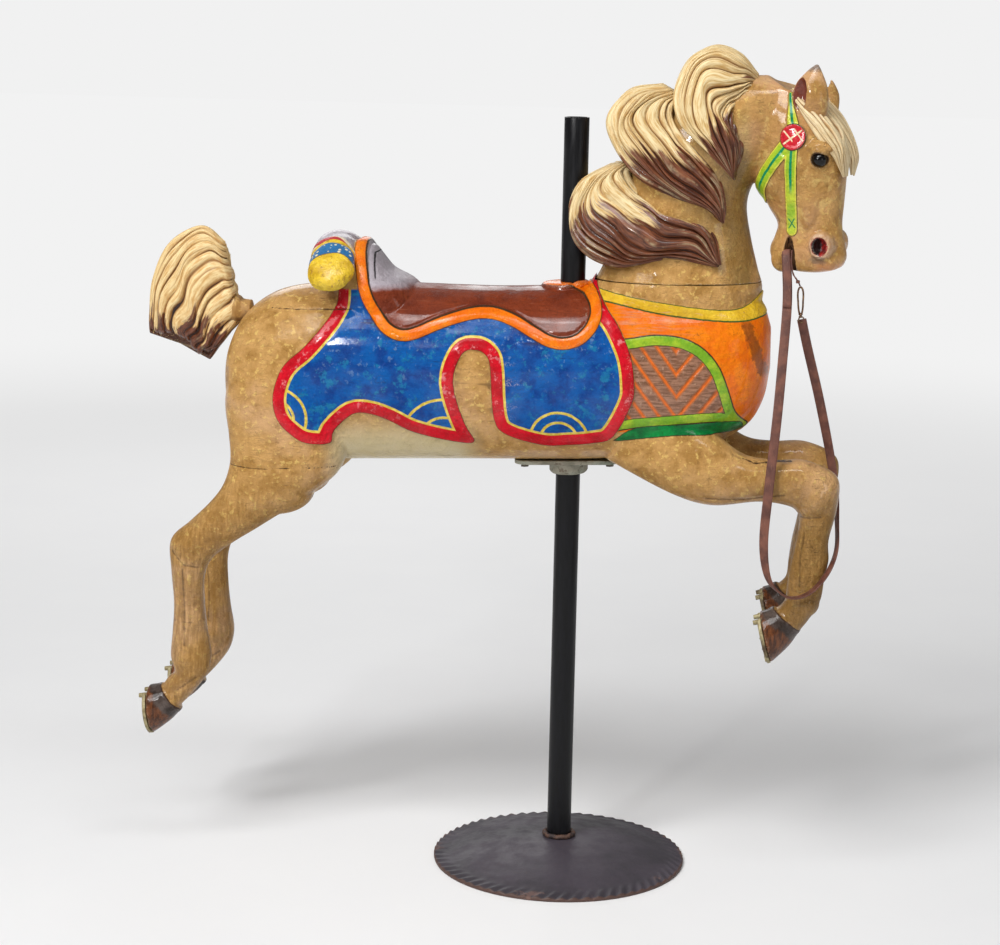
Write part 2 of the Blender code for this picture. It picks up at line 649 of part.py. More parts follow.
def base_disc(home):
    """A dished disc with a fluted rim, and the weld bead round the foot of the pole."""
    bead = PIPE_OUTSIDE / 2 + GAP
    bead_top = DISC_CROWN + WELD_HEIGHT
    flute_start = DISC_RADIUS - FLUTE_LENGTH
    middle = DISC_RADIUS * 0.55
    upper = [
        (bead, DISC_CROWN),
        (bead, bead_top),
        (bead + WELD_WIDTH * 0.5, bead_top - WELD_HEIGHT * 0.3),
        (bead + WELD_WIDTH, disc_top(bead + WELD_WIDTH)),
        (middle, disc_top(middle)),
        (flute_start, disc_top(flute_start)),
        (DISC_RADIUS, disc_top(DISC_RADIUS)),
    ]
    foot = [(DISC_RADIUS, 0.0), (DISC_RADIUS - RIM_FOOT, 0.0)]
    lower = [(r, disc_top(r) - DISC_STEEL) for r in (flute_start, middle)]
    body = bmesh.new()
    loops = []
    for r, z in upper + foot + lower:
        count = 2 * FLUTE_COUNT if r >= flute_start else FLUTE_COUNT // 2
        ring = []
        for k in range(count):
            turn = 2 * math.pi * k / count
            wave = FLUTE_DEPTH * (k % 2) if r > flute_start and z > 0 else 0
            ring.append(body.verts.new((r * math.cos(turn), r * math.sin(turn), z + wave)))
        loops.append(ring)
    for near, far in zip(loops, loops[1:]):
        bridge(body, near, far)
    body.faces.new(loops[0])
    body.faces.new(loops[-1])
    return new_object("base_disc", finished(body, "base_disc"), home, DISC_BLACK)


def plate_frame():
    """The clamp plate lies under the belly line, so it is tilted with the horse."""
    return Matrix.Translation((0, 0, BELLY_HEIGHT)) @ Matrix.Rotation(-NOSE_UP, 4, "Y")


def belly_flange(home):
    """Cast plate with a round boss for the pole, bolted up under the belly."""
    frame = plate_frame()
    body = bmesh.new()
    size = Matrix.Diagonal((PLATE_LENGTH, PLATE_WIDTH, PLATE_THICKNESS, 1))
    drop = Matrix.Translation((0, 0, -GAP - PLATE_THICKNESS / 2))
    bmesh.ops.create_cube(body, size=1, matrix=frame @ drop @ size)
    corners = [e for e in body.edges if e.calc_length() < PLATE_THICKNESS * 1.1]
    bmesh.ops.bevel(body, geom=corners, offset=PLATE_WIDTH * 0.32, segments=4, affect="EDGES", profile=0.5)
    plate = new_object("belly_flange", finished(body, "belly_flange"), home, CAST_GREY)
    boss = bmesh.new()
    shoulder = BOSS_RADIUS * 0.86
    corner = BOSS_DROP * 0.22
    cylinder(boss, BOSS_RADIUS, -BOSS_DROP + corner, -GAP - PLATE_THICKNESS / 2, frame, 24)
    rim = bmesh.new()
    bmesh.ops.create_cone(
        rim,
        cap_ends=True,
        segments=24,
        radius1=shoulder,
        radius2=BOSS_RADIUS,
        depth=corner * 1.02,
        matrix=frame @ Matrix.Translation((0, 0, -BOSS_DROP + corner * 0.51)),
    )
    cut(plate, cutter("boss", boss, CUTTERS), "UNION")
    cut(plate, cutter("boss_rim", rim, CUTTERS), "UNION")
    bore = bmesh.new()
    cylinder(bore, PIPE_OUTSIDE / 2 + GAP, BELLY_HEIGHT - 0.1, BELLY_HEIGHT + 0.1, sides=32)
    cut(plate, cutter("flange_bore", bore, CUTTERS))
    cut(plate, PIN_HOLE)
    return plate


def flange_bolts(home):
    """Square-headed bolts near the plate's corners, heads downwards."""
    frame = plate_frame()
    for number, (along, across) in enumerate([(-1, -1), (1, -1), (-1, 1), (1, 1)], 1):
        body = bmesh.new()
        spot = Vector(
            (along * (PLATE_LENGTH / 2 - BOLT_IN), across * (PLATE_WIDTH / 2 - BOLT_IN), -2 * GAP - PLATE_THICKNESS)
        )
        cylinder(body, BOLT_HEAD, -BOLT_HEAD_HEIGHT, 0, frame @ Matrix.Translation(spot), 6)
        name = f"flange_bolt_{number}"
        new_object(name, finished(body, name), home, BOLT_STEEL)


def pin_height():
    return BELLY_HEIGHT - BOSS_DROP * 0.62


def pin_hole():
    body = bmesh.new()
    lying = Matrix.Translation((0, 0, pin_height())) @ Matrix.Rotation(math.radians(90), 4, "X")
    cylinder(body, PIN_RADIUS + GAP, -0.1, 0.1, lying, 12)
    return cutter("pin_hole", body, CUTTERS)


def wire_object(name, points, radius, home, look, closed=False, resolution=2):
    """A wire or a cord through the points, as a curve with a round section."""
    curve = bpy.data.curves.new(name, "CURVE")
    curve.dimensions = "3D"
    curve.bevel_depth = radius
    curve.bevel_resolution = resolution
    curve.use_fill_caps = True
    spline = curve.splines.new("POLY")
    spline.points.add(len(points) - 1)
    for spot, point in zip(spline.points, points):
        spot.co = (*point, 1.0)
    spline.use_cyclic_u = closed
    return new_object(name, curve, home, look)


def pole_pin(home):
    """The pin through boss and pole. Its near end is bent down in front of the pole."""
    height = pin_height()
    front = -BOSS_RADIUS - 3 * PIN_RADIUS
    bend = 2 * PIN_RADIUS
    corner = [
        (0, front - bend * math.sin(t), height - bend + bend * math.cos(t)) for t in np.radians([0, 22, 45, 68, 90])
    ]
    points = [(0, BOSS_RADIUS + 0.006, height), *corner, (0, front - bend, height - PIN_TAIL)]
    return wire_object("pole_pin", points, PIN_RADIUS, home, PIN_STEEL)


def rein_path():
    """Points of the rein in the world, read from a smooth curve, with the width's angle at each."""
    frame = horse_frame()
    rows = smooth_rows([(*place, angle) for place, angle in REIN_ROUTE], 2)
    return [(frame @ Vector(row[:3]), math.radians(row[3])) for row in rows]


def strap(body, path, width, thickness):
    """A flat strap along a path. Its width lies across the path, at each point's own angle."""
    spots = np.array([place for place, _ in path])
    ahead = np.gradient(spots, axis=0)
    rings = []
    for place, way, (_, angle) in zip(spots, ahead, path):
        way = way / np.linalg.norm(way)
        flat = np.array([math.cos(angle), -math.sin(angle), 0])
        flat = flat - flat.dot(way) * way
        flat /= np.linalg.norm(flat)
        thick = np.cross(way, flat)
        a = flat * width / 2
        b = thick * thickness / 2
        rings.append([Vector(place + corner) for corner in (a + b, b - a, -a - b, a - b)])
    skin(body, rings)


def reins(home):
    body = bmesh.new()
    path = rein_path()
    strap(body, path, REIN_WIDTH, REIN_THICKNESS)
    new_object("rein_strap", finished(body, "rein_strap"), home, LEATHER)
    frame = horse_frame()
    top, foot = (frame @ Vector((REIN_ROUTE[0][0][0], REIN_ROUTE[0][0][1], z)) for z in (BILLET_TOP, BILLET_FOOT))
    front = [
        (place + Vector((0, -REIN_THICKNESS - GAP * 2, 0)), angle)
        for place, angle in path
        if foot.z < place.z <= top.z
    ]
    billet = bmesh.new()
    strap(billet, front, REIN_WIDTH * 0.8, REIN_THICKNESS)
    new_object("rein_billet", finished(billet, "rein_billet"), home, LEATHER)


def snap_hook(home):
    """A long wire snap that joins the rein's far end to the thong from the mouth."""
    frame = horse_frame()
    length = HOOK_LENGTH / 2
    half = HOOK_WIDTH / 2
    base = Vector(HOOK_FOOT)
    points = []
    for t in np.linspace(0, 2 * np.pi, 14, endpoint=False):
        squeeze = 0.62 + 0.38 * max(math.sin(t), 0)
        points.append(frame @ (base + Vector((half * squeeze * math.cos(t), 0, length + length * math.sin(t)))))
    wire_object("snap_hook", points, HOOK_WIRE, home, HOOK_BRASS, closed=True)


def hook_thong(home):
    frame = horse_frame()
    points = [frame @ Vector(row) for row in smooth_rows(THONG_ROUTE, 2)]
    wire_object("hook_thong", points, THONG_RADIUS, home, LEATHER)


def floor_point(home):
    """The point under the middle of the box round everything built so far."""
    bpy.context.view_layer.update()
    graph = bpy.context.evaluated_depsgraph_get()
    low = Vector((math.inf,) * 3)
    high = -low
    for obj in home.objects:
        mesh = obj.evaluated_get(graph).to_mesh()
        for vertex in mesh.vertices:
            spot = obj.matrix_world @ vertex.co
            low = Vector(map(min, low, spot))
            high = Vector(map(max, high, spot))
    return Vector(((low.x + high.x) / 2, (low.y + high.y) / 2, low.z))


def stand_on(point, home):
    """Hangs everything on one empty, moved so that the point becomes the origin."""
    base = bpy.data.objects.new("carousel_horse_base", None)
    for obj in [*home.objects, *CUTTERS.objects]:
        obj.parent = base
    home.objects.link(base)
    base.location = -point


clear_scene()
PARTS = collection("carousel_horse")
CUTTERS = collection("cutters")
CUTTERS.hide_render = True
PIN_HOLE = pin_hole()
horse(PARTS)
tail(PARTS)
eye("eye_right", -1, PARTS)
eye("eye_left", 1, PARTS)
for label, sole, flank in (
    ("horseshoe_fore_right", FORE_HOOF, -1),
    ("horseshoe_fore_left", FORE_HOOF, 1),
    ("horseshoe_hind_right", HIND_HOOF, -1),
    ("horseshoe_hind_left", HIND_HOOF, 1),
):
    horseshoe(label, sole, flank, PARTS)
pole(PARTS)
base_disc(PARTS)
belly_flange(PARTS)
flange_bolts(PARTS)
pole_pin(PARTS)
UNDER_THE_MIDDLE = floor_point(PARTS)
reins(PARTS)
snap_hook(PARTS)
hook_thong(PARTS)
stand_on(UNDER_THE_MIDDLE, PARTS)
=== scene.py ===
import math

import bmesh
import bpy
import numpy as np
from mathutils import Matrix, Vector


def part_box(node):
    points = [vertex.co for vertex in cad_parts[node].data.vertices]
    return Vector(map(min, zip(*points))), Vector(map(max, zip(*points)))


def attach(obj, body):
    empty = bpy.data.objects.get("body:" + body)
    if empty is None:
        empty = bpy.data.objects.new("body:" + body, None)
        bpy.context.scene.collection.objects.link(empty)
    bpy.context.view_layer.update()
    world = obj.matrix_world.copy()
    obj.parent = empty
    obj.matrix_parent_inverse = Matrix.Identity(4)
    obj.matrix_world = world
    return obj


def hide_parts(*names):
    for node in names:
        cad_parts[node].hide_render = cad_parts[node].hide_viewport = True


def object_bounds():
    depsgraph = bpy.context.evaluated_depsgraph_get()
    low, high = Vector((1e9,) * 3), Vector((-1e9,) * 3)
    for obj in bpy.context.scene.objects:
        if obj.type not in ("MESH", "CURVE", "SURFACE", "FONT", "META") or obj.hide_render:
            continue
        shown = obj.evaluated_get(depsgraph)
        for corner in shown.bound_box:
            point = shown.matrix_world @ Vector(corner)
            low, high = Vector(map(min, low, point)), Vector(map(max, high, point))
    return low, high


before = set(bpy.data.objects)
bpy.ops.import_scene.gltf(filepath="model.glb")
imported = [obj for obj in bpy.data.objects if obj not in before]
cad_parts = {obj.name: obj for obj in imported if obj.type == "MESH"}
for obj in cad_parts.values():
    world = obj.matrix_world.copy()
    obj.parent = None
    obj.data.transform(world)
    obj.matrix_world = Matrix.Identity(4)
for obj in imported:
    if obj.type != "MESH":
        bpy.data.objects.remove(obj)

cad_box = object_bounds()

# Studio
# The camera stands at the horse's right, a little ahead of it and above the saddle. The floor is plain
# and pale and runs into a white wall of light, under one broad soft sun, soft boxes and one small lamp.
CAMERA_PLACE = Vector((0.599, -4.737, 1.755))
CAMERA_DOWN = math.radians(11.371)
CAMERA_TURN = math.radians(7.0)
CAMERA_ROLL = math.radians(1.153)
CAMERA_LENS = 88.2
CAMERA_SENSOR = 36.0
FLOOR_SIZE = 60.0
FLOOR_GLOWS_FROM = 1.6
FLOOR_GLOWS_FULLY = 7.5
# Each lamp's name, place, aim, width, height and power.
LIGHTS = [
    ("key", (-1.9, -3.4, 3.2), (0.0, 0.0, 0.9), 1.2, 0.9, 46.0),
    ("spark", (-1.1, -3.6, 2.6), (0.1, 0.0, 0.9), 0.26, 0.26, 22.0),
    ("fill", (3.2, -3.2, 1.9), (0.2, 0.0, 0.9), 0.9, 1.6, 10.0),
    ("top", (0.2, -1.4, 3.6), (0.1, 0.0, 0.8), 2.4, 0.5, 28.0),
    ("rear", (-1.2, 4.2, 2.6), (0.0, 0.0, 0.9), 2.6, 2.0, 36.0),
]
SUN_TURN = (math.radians(42), 0.0, math.radians(-26))
SUN_STRENGTH = 1.5
SUN_ANGLE = math.radians(28)
ROOM_LIGHT = 0.2
ROOM_SEEN = 0.88

camera = bpy.data.objects.new("camera", bpy.data.cameras.new("camera"))
camera.data.lens = CAMERA_LENS
camera.data.sensor_width = CAMERA_SENSOR
bpy.context.scene.collection.objects.link(camera)
ahead = Matrix.Rotation(CAMERA_TURN, 3, "Z") @ Vector((0, math.cos(CAMERA_DOWN), -math.sin(CAMERA_DOWN)))
right = ahead.cross(Vector((0, 0, 1))).normalized()
upward = right.cross(ahead)
rolled_right = math.cos(CAMERA_ROLL) * right + math.sin(CAMERA_ROLL) * upward
rolled_up = -math.sin(CAMERA_ROLL) * right + math.cos(CAMERA_ROLL) * upward
turned = Matrix((rolled_right, rolled_up, -ahead)).transposed().to_4x4()
camera.matrix_world = Matrix.Translation(CAMERA_PLACE) @ turned
bpy.context.scene.camera = camera
bpy.context.scene.view_settings.view_transform = "Standard"

for label, place, aim, width, height, power in LIGHTS:
    lamp = bpy.data.lights.new(label, "AREA")
    lamp.shape = "RECTANGLE"
    lamp.size = width
    lamp.size_y = height
    lamp.energy = power
    light = bpy.data.objects.new(label, lamp)
    light.location = place
    light.rotation_euler = (Vector(aim) - Vector(place)).to_track_quat("-Z", "Y").to_euler()
    bpy.context.scene.collection.objects.link(light)

world = bpy.data.worlds.new("studio")
bpy.context.scene.world = world
world.use_nodes = True
sun = bpy.data.objects.new("sun", bpy.data.lights.new("sun", "SUN"))
sun.data.energy = SUN_STRENGTH
sun.data.angle = SUN_ANGLE
sun.rotation_euler = SUN_TURN
bpy.context.scene.collection.objects.link(sun)


class Signal:
    """A socket in a material. Python's operators on it add the Math nodes that work them out."""

    def __init__(self, tree, socket):
        self.tree = tree
        self.socket = socket

    def node(self, kind, settings=None, inputs=None, output=0):
        """Any other node: its type and its settings, then its values and links."""
        made = self.tree.nodes.new(kind)
        for name, value in (settings or {}).items():
            setattr(made, name, value)
        for name, value in (inputs or {}).items():
            if isinstance(value, Signal):
                self.tree.links.new(value.socket, made.inputs[name])
            else:
                made.inputs[name].default_value = value
        return Signal(self.tree, made.outputs[output])

    def math(self, operation, *values):
        return self.node("ShaderNodeMath", {"operation": operation}, dict(enumerate(values)))

    def __add__(self, other):
        return self.math("ADD", self, other)

    def __radd__(self, other):
        return self.math("ADD", other, self)

    def __sub__(self, other):
        return self.math("SUBTRACT", self, other)

    def __rsub__(self, other):
        return self.math("SUBTRACT", other, self)

    def __mul__(self, other):
        return self.math("MULTIPLY", self, other)

    def __rmul__(self, other):
        return self.math("MULTIPLY", other, self)

    def __truediv__(self, other):
        return self.math("DIVIDE", self, other)

    def __abs__(self):
        return self.math("ABSOLUTE", self)


room = world.node_tree.nodes["Background"].inputs
room["Color"].default_value = (1.0, 1.0, 1.0, 1.0)
rays = Signal(world.node_tree, world.node_tree.nodes.new("ShaderNodeLightPath").outputs["Is Camera Ray"])
world.node_tree.links.new((rays * (ROOM_SEEN - ROOM_LIGHT) + ROOM_LIGHT).socket, room["Strength"])


def paint(red, green, blue):
    """A paint chip's colour, given as a screen shows it, in the light values that a shader takes."""
    chip = [c / 255 for c in (red, green, blue)]
    return (*[c / 12.92 if c <= 0.04045 else ((c + 0.055) / 1.055) ** 2.4 for c in chip], 1.0)


def rise(value, low, high):
    """0 below low and 1 above high, or the other way round where high is the lower of the two."""
    return value.node(
        "ShaderNodeMapRange",
        {"interpolation_type": "SMOOTHSTEP"},
        {"Value": value, "From Min": low, "From Max": high},
    )


def either(one, other):
    return one.math("MAXIMUM", one, other)


def mix(share, under, over):
    """The colour under, with the share of the colour over laid on it."""
    return share.node("ShaderNodeMix", {"data_type": "RGBA"}, {0: share, 6: under, 7: over}, 2)


def over(colour, share, top):
    return mix(share, colour, top)


def layered(colour, *coats):
    """Coats of paint laid on a colour one after the other, each with the share that it covers."""
    for share, top in coats:
        colour = over(colour, share, top)
    return colour


def blend(value, low, high, one, other):
    """Two paint chips that run into each other as the value goes from low to high."""
    return mix(rise(value, low, high), paint(*one), paint(*other))


def noise(where, scale, detail=3.0, rough=0.55):
    return where.node(
        "ShaderNodeTexNoise", None, {"Vector": where, "Scale": scale, "Detail": detail, "Roughness": rough}
    )


def stretched(where, scale):
    """The same places, drawn out: a small scale makes a pattern long that way."""
    return where.node("ShaderNodeVectorMath", {"operation": "MULTIPLY"}, {0: where, 1: scale})


def cell_edges(where, scale):
    """Distance to the nearest border between irregular cells, as in crazed varnish."""
    return where.node(
        "ShaderNodeTexVoronoi", {"feature": "DISTANCE_TO_EDGE"}, {"Vector": where, "Scale": scale}
    )


def new_finish(name):
    """An empty material, and the signal of where a point is on the object, in metres."""
    made = bpy.data.materials.new(name)
    made.use_nodes = True
    tree = made.node_tree
    spot = tree.nodes.new("ShaderNodeTexCoord")
    return made, Signal(tree, spot.outputs["Object"])


def field(where, name):
    """A value that was written on each point of the mesh."""
    return where.node("ShaderNodeAttribute", {"attribute_name": name}, output="Fac")


def coated(material, sockets, relief=None, depth=0.001, strength=1.0):
    """Sets the shader's sockets, and the fine relief in its surface, with its depth in metres."""
    shader = material.node_tree.nodes["Principled BSDF"]
    if relief:
        inputs = {"Strength": strength, "Distance": depth, "Height": relief}
        sockets = {**sockets, "Normal": relief.node("ShaderNodeBump", None, inputs)}
    for name, value in sockets.items():
        if isinstance(value, Signal):
            material.node_tree.links.new(value.socket, shader.inputs[name])
        else:
            shader.inputs[name].default_value = value
    return material


def write_fields(mesh, fields):
    """Writes values on the points of a mesh, for its material to read."""
    for label, values in fields.items():
        layer = mesh.attributes.new(label, "FLOAT", "POINT")
        layer.data.foreach_set("value", np.asarray(values, np.float32))


def on_the_horse(name, mesh, material, nodes=(), sharp=None):
    """A mesh that rides with the horse, takes the finish it is given and stands for CAD nodes."""
    obj = bpy.data.objects.new(name, mesh)
    bpy.context.scene.collection.objects.link(obj)
    mesh.materials.append(material)
    mesh.shade_smooth()
    if sharp:
        mesh.set_sharp_from_angle(angle=math.radians(sharp))
    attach(obj, "root")
    if nodes:
        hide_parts(*nodes)
    return obj


def piece(name, points, faces, material, nodes=(), fields=None, sharp=None):
    """A mesh of points and faces that rides with the horse in the same way."""
    mesh = bpy.data.meshes.new(name)
    mesh.from_pydata([tuple(p) for p in points], [], faces)
    write_fields(mesh, fields or {})
    return on_the_horse(name, mesh, material, nodes, sharp)


def block_piece(name, block, material, nodes, sharp=None):
    """A bmesh block, used up here, that rides with the horse in the same way."""
    mesh = bpy.data.meshes.new(name)
    block.to_mesh(mesh)
    block.free()
    return on_the_horse(name, mesh, material, nodes, sharp)


pale_floor, where = new_finish("pale_floor")
from_pole = where.node("ShaderNodeVectorMath", {"operation": "LENGTH"}, {0: where}, "Value")
far_off = rise(from_pole, FLOOR_GLOWS_FROM, FLOOR_GLOWS_FULLY)
black = (0.0, 0.0, 0.0, 1.0)
plain = mix(noise(where, 3.0), paint(243, 243, 243), paint(239, 239, 240))
coated(
    pale_floor,
    {
        "Base Color": over(plain, far_off, black),
        "Emission Color": mix(far_off, black, (ROOM_SEEN, ROOM_SEEN, ROOM_SEEN, 1.0)),
        "Emission Strength": 1.0,
        "Roughness": 0.95,
        "Specular IOR Level": 0.1,
    },
)
floor_mesh = bpy.data.meshes.new("floor")
half = FLOOR_SIZE / 2
corners = [(-half, -half, 0), (half, -half, 0), (half, half, 0), (-half, half, 0)]
floor_mesh.from_pydata(corners, [], [(0, 1, 2, 3)])
floor_mesh.materials.append(pale_floor)
studio_floor = bpy.data.objects.new("studio_floor", floor_mesh)
bpy.context.scene.collection.objects.link(studio_floor)

# Rein
# One long strap of brown bridle leather from the near corner of the mouth, down past the knee in a
# loop and up between the knees to its wire snap. It hangs free, joined at its ends alone.
STEP = 0.01
BELLY_HEIGHT = 0.8334
NOSE_UP = math.radians(2.5)
REIN_WIDTH = 0.018
REIN_THICKNESS = 0.0035
REIN_PER = 16
STRAP_SIDES = 16
# Places along the rein in steps, with its turn about the upright in degrees.
REIN_ROUTE = [
    ((42.8, -4.4, 41.0), 0),
    ((43.0, -5.9, 38.0), 0),
    ((43.1, -7.9, 31.0), 0),
    ((42.2, -11.8, 20.0), 0),
    ((41.2, -14.6, 9.6), 0),
    ((39.6, -16.4, -4.0), 5),
    ((38.7, -16.2, -13.8), 20),
    ((39.4, -15.6, -20.4), 45),
    ((41.6, -15.2, -23.6), 65),
    ((44.4, -14.9, -24.7), 75),
    ((47.6, -14.4, -23.6), 70),
    ((50.6, -12.4, -20.6), 70),
    ((52.4, -9.0, -16.8), 75),
    ((52.6, -5.0, -12.0), 70),
    ((52.2, -2.4, -6.0), 40),
    ((51.2, -1.2, 1.0), 20),
    ((49.1, -1.8, 12.0), 0),
    ((46.9, -3.4, 22.0), 0),
    ((45.8, -4.4, 27.6), 0),
]

pole_low, pole_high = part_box("pole")
POLE_AXIS = Vector(((pole_low.x + pole_high.x) / 2, (pole_low.y + pole_high.y) / 2, 0))
horse_frame = (
    Matrix.Translation(POLE_AXIS + Vector((0, 0, BELLY_HEIGHT)))
    @ Matrix.Rotation(-NOSE_UP, 4, "Y")
    @ Matrix.Scale(STEP, 4)
)


def smooth_rows(rows, per):
    """A Catmull-Rom curve through rows of numbers, with so many pieces between one row and the next."""
    rows = np.asarray(rows, float)
    ends = np.vstack([2 * rows[0] - rows[1], rows, 2 * rows[-1] - rows[-2]])
    out = []
    for a, b, c, d in zip(ends, ends[1:], ends[2:], ends[3:]):
        square = 2 * a - 5 * b + 4 * c - d
        cube = 3 * b - a - 3 * c + d
        out += [0.5 * (2 * b + (c - a) * t + square * t**2 + cube * t**3) for t in np.arange(per) / per]
    out.append(rows[-1])
    return np.array(out)


def path_of(x, y, z):
    """Points as rows, from coordinates that are rows of numbers or one number for all."""
    return np.stack(np.broadcast_arrays(x, y, z), 1)


def placed(matrix, points):
    """Points through a matrix, as rows of numbers."""
    points = np.asarray(points, float)
    table = np.array(matrix)
    return points @ table[:3, :3].T + table[:3, 3]


def tube_faces(rows, columns, closed=True):
    """Faces between rows of points that run round, with a fan of one point at each end if it is closed."""
    faces = []
    for i in range(rows - 1):
        for j in range(columns):
            k = (j + 1) % columns
            faces.append((i * columns + j, i * columns + k, (i + 1) * columns + k, (i + 1) * columns + j))
    if closed:
        last = (rows - 1) * columns
        first_tip = rows * columns
        faces += [((j + 1) % columns, j, first_tip) for j in range(columns)]
        faces += [(last + j, last + (j + 1) % columns, first_tip + 1) for j in range(columns)]
    return faces


def signed_power(values, power):
    return np.sign(values) * np.abs(values) ** power


def strap_points(spots, angles, width, thickness):
    """A strap with rounded edges along a path, with its width at each point's own angle."""
    ahead = np.gradient(spots, axis=0)
    turns = np.linspace(0, 2 * np.pi, STRAP_SIDES, endpoint=False)
    flat_share = signed_power(np.cos(turns), 0.35)
    thick_share = signed_power(np.sin(turns), 0.7)
    points = []
    for place, way, angle in zip(spots, ahead, angles):
        way = way / np.linalg.norm(way)
        flat = np.array([math.cos(angle), -math.sin(angle), 0])
        flat = flat - flat.dot(way) * way
        flat /= np.linalg.norm(flat)
        wide = np.outer(flat_share, flat * width / 2)
        points.append(place + wide + np.outer(thick_share, np.cross(way, flat) * thickness / 2))
    return np.vstack([*points, spots[0], spots[-1]])


def strap_piece(name, spots, angles, width):
    points = strap_points(spots, angles, width, REIN_THICKNESS)
    return piece(name, points, tube_faces(len(spots), STRAP_SIDES), bridle_leather, [name])


rein_rows = smooth_rows([(*place, math.radians(angle)) for place, angle in REIN_ROUTE], REIN_PER)
rein_line = placed(horse_frame, rein_rows[:, :3])

bridle_leather, where = new_finish("bridle_leather")
worn = noise(where, 45.0, 5.0)
streak = noise(stretched(where, (60.0, 60.0, 9.0)), 6.0, 4.0)
hide = blend(worn, 0.35, 0.7, (84, 47, 38), (120, 74, 58))
hide = mix(rise(streak, 0.58, 0.72) * 0.5, hide, paint(150, 104, 84))
hide = mix(rise(noise(where, 320.0, 3.0), 0.62, 0.75) * 0.5, hide, paint(58, 33, 27))
pores = cell_edges(where, 900.0)
coated(
    bridle_leather,
    {"Base Color": hide, "Roughness": 0.42 + 0.2 * rise(worn, 0.3, 0.7), "Specular IOR Level": 0.45},
    rise(pores, 0.0, 0.12) * 0.4 + noise(where, 160.0, 4.0),
    0.0005,
    0.6,
)

rein = strap_piece("rein_strap", rein_line, rein_rows[:, 3], REIN_WIDTH)

# Billet
# The rein's folded end: it passes through the mouth and comes down over the strap, to which it is
# stitched.
BILLET_TOP = 41.0
BILLET_FOOT = 30.4
BILLET_BEHIND = 44.0
BILLET_WIDTH = 0.0152
BILLET_GAP = 0.0004

rein_x, _, rein_z, _ = rein_rows.T
inside = (rein_z <= BILLET_TOP) & (rein_z >= BILLET_FOOT) & (rein_x < BILLET_BEHIND)
billet_line = rein_line[inside] + np.array([0, -REIN_THICKNESS - BILLET_GAP, 0])
billet = strap_piece("rein_billet", billet_line, rein_rows[inside, 3], BILLET_WIDTH)

# Snap hook
# A long snap bent from brassy wire, with a swivel and a ring through the strap's end loop, now dull
# and brown.
HOOK_FOOT = (45.6, -4.6, 28.4)
HOOK_LENGTH = 5.4
HOOK_WIDTH = 1.5
HOOK_WIRE = 0.18
SWIVEL_RADII = [0.16, 0.34, 0.42, 0.42, 0.3, 0.22, 0.3, 0.42, 0.42, 0.34, 0.24, 0.2, 0.16]
RING_MIDDLE = (45.72, -4.6, 27.55)
RING_REACH = (0.5, 0.3, 0.55)
THIN_WIRE = 0.13

dull_brass, where = new_finish("dull_brass")
tarnish = noise(where, 220.0, 4.0)
coated(
    dull_brass,
    {
        "Base Color": blend(tarnish, 0.35, 0.65, (96, 68, 52), (152, 122, 92)),
        "Roughness": 0.35 + 0.3 * rise(tarnish, 0.3, 0.7),
        "Metallic": 0.85,
    },
    tarnish,
    0.0004,
)


def wire_points(path, radii, sides=12):
    """Round wire along a path of steps, its ring turned with the path."""
    path = np.asarray(path, float)
    ahead = np.gradient(path, axis=0)
    side = np.array([0.0, 1.0, 0.0])
    turns = np.linspace(0, 2 * np.pi, sides, endpoint=False)
    rings = []
    for spot, way, radius in zip(path, ahead, np.broadcast_to(radii, len(path))):
        way = way / np.linalg.norm(way)
        side = side - side.dot(way) * way
        side /= np.linalg.norm(side)
        other = np.cross(way, side)
        rings.append(spot + radius * (np.outer(np.cos(turns), side) + np.outer(np.sin(turns), other)))
    return np.vstack([*rings, path[0], path[-1]])


def wire_piece(name, path, radii, matrix, material, nodes=(), sides=12):
    points = placed(matrix, wire_points(path, radii, sides))
    return piece(name, points, tube_faces(len(path), sides), material, nodes)


foot_x, foot_y, foot_z = HOOK_FOOT
turns = np.linspace(-0.55 * np.pi, 1.36 * np.pi, 60)
squeeze = 0.62 + 0.38 * np.clip(np.sin(turns), 0, 1)
bow = foot_x + HOOK_WIDTH / 2 * squeeze * np.cos(turns)
loop = path_of(bow, foot_y, foot_z + HOOK_LENGTH / 2 * (1 + np.sin(turns)))
snap = wire_piece("snap_hook", loop, HOOK_WIRE, horse_frame, dull_brass, ["snap_hook"])
barrel = path_of(foot_x, foot_y, foot_z + np.linspace(-0.5, 0.5, len(SWIVEL_RADII)))
swivel = wire_piece("snap_swivel", barrel, SWIVEL_RADII, horse_frame, dull_brass)
turns = np.linspace(0, 2 * np.pi, 33)
circle = np.stack([np.cos(turns), np.cos(turns), np.sin(turns)], 1)
ring_path = np.array(RING_MIDDLE) + np.array(RING_REACH) * circle
snap_ring = wire_piece("snap_ring", ring_path, THIN_WIRE, horse_frame, dull_brass)

# Thong
# A dark twisted thong that ties the snap to the hole in the mouth. It is wound to a knot above the
# snap.
THONG_ROUTE = [
    (44.0, -5.2, 41.0), (43.9, -6.0, 38.8), (44.2, -6.3, 36.6), (45.0, -5.5, 35.2), (45.5, -4.8, 34.1),
]
THONG_RADIUS = 0.14
KNOT_TURNS = 2.5
KNOT_MIDDLE = (45.1, -5.3, 34.9)
KNOT_RADIUS = 0.26
KNOT_HEIGHT = 0.5

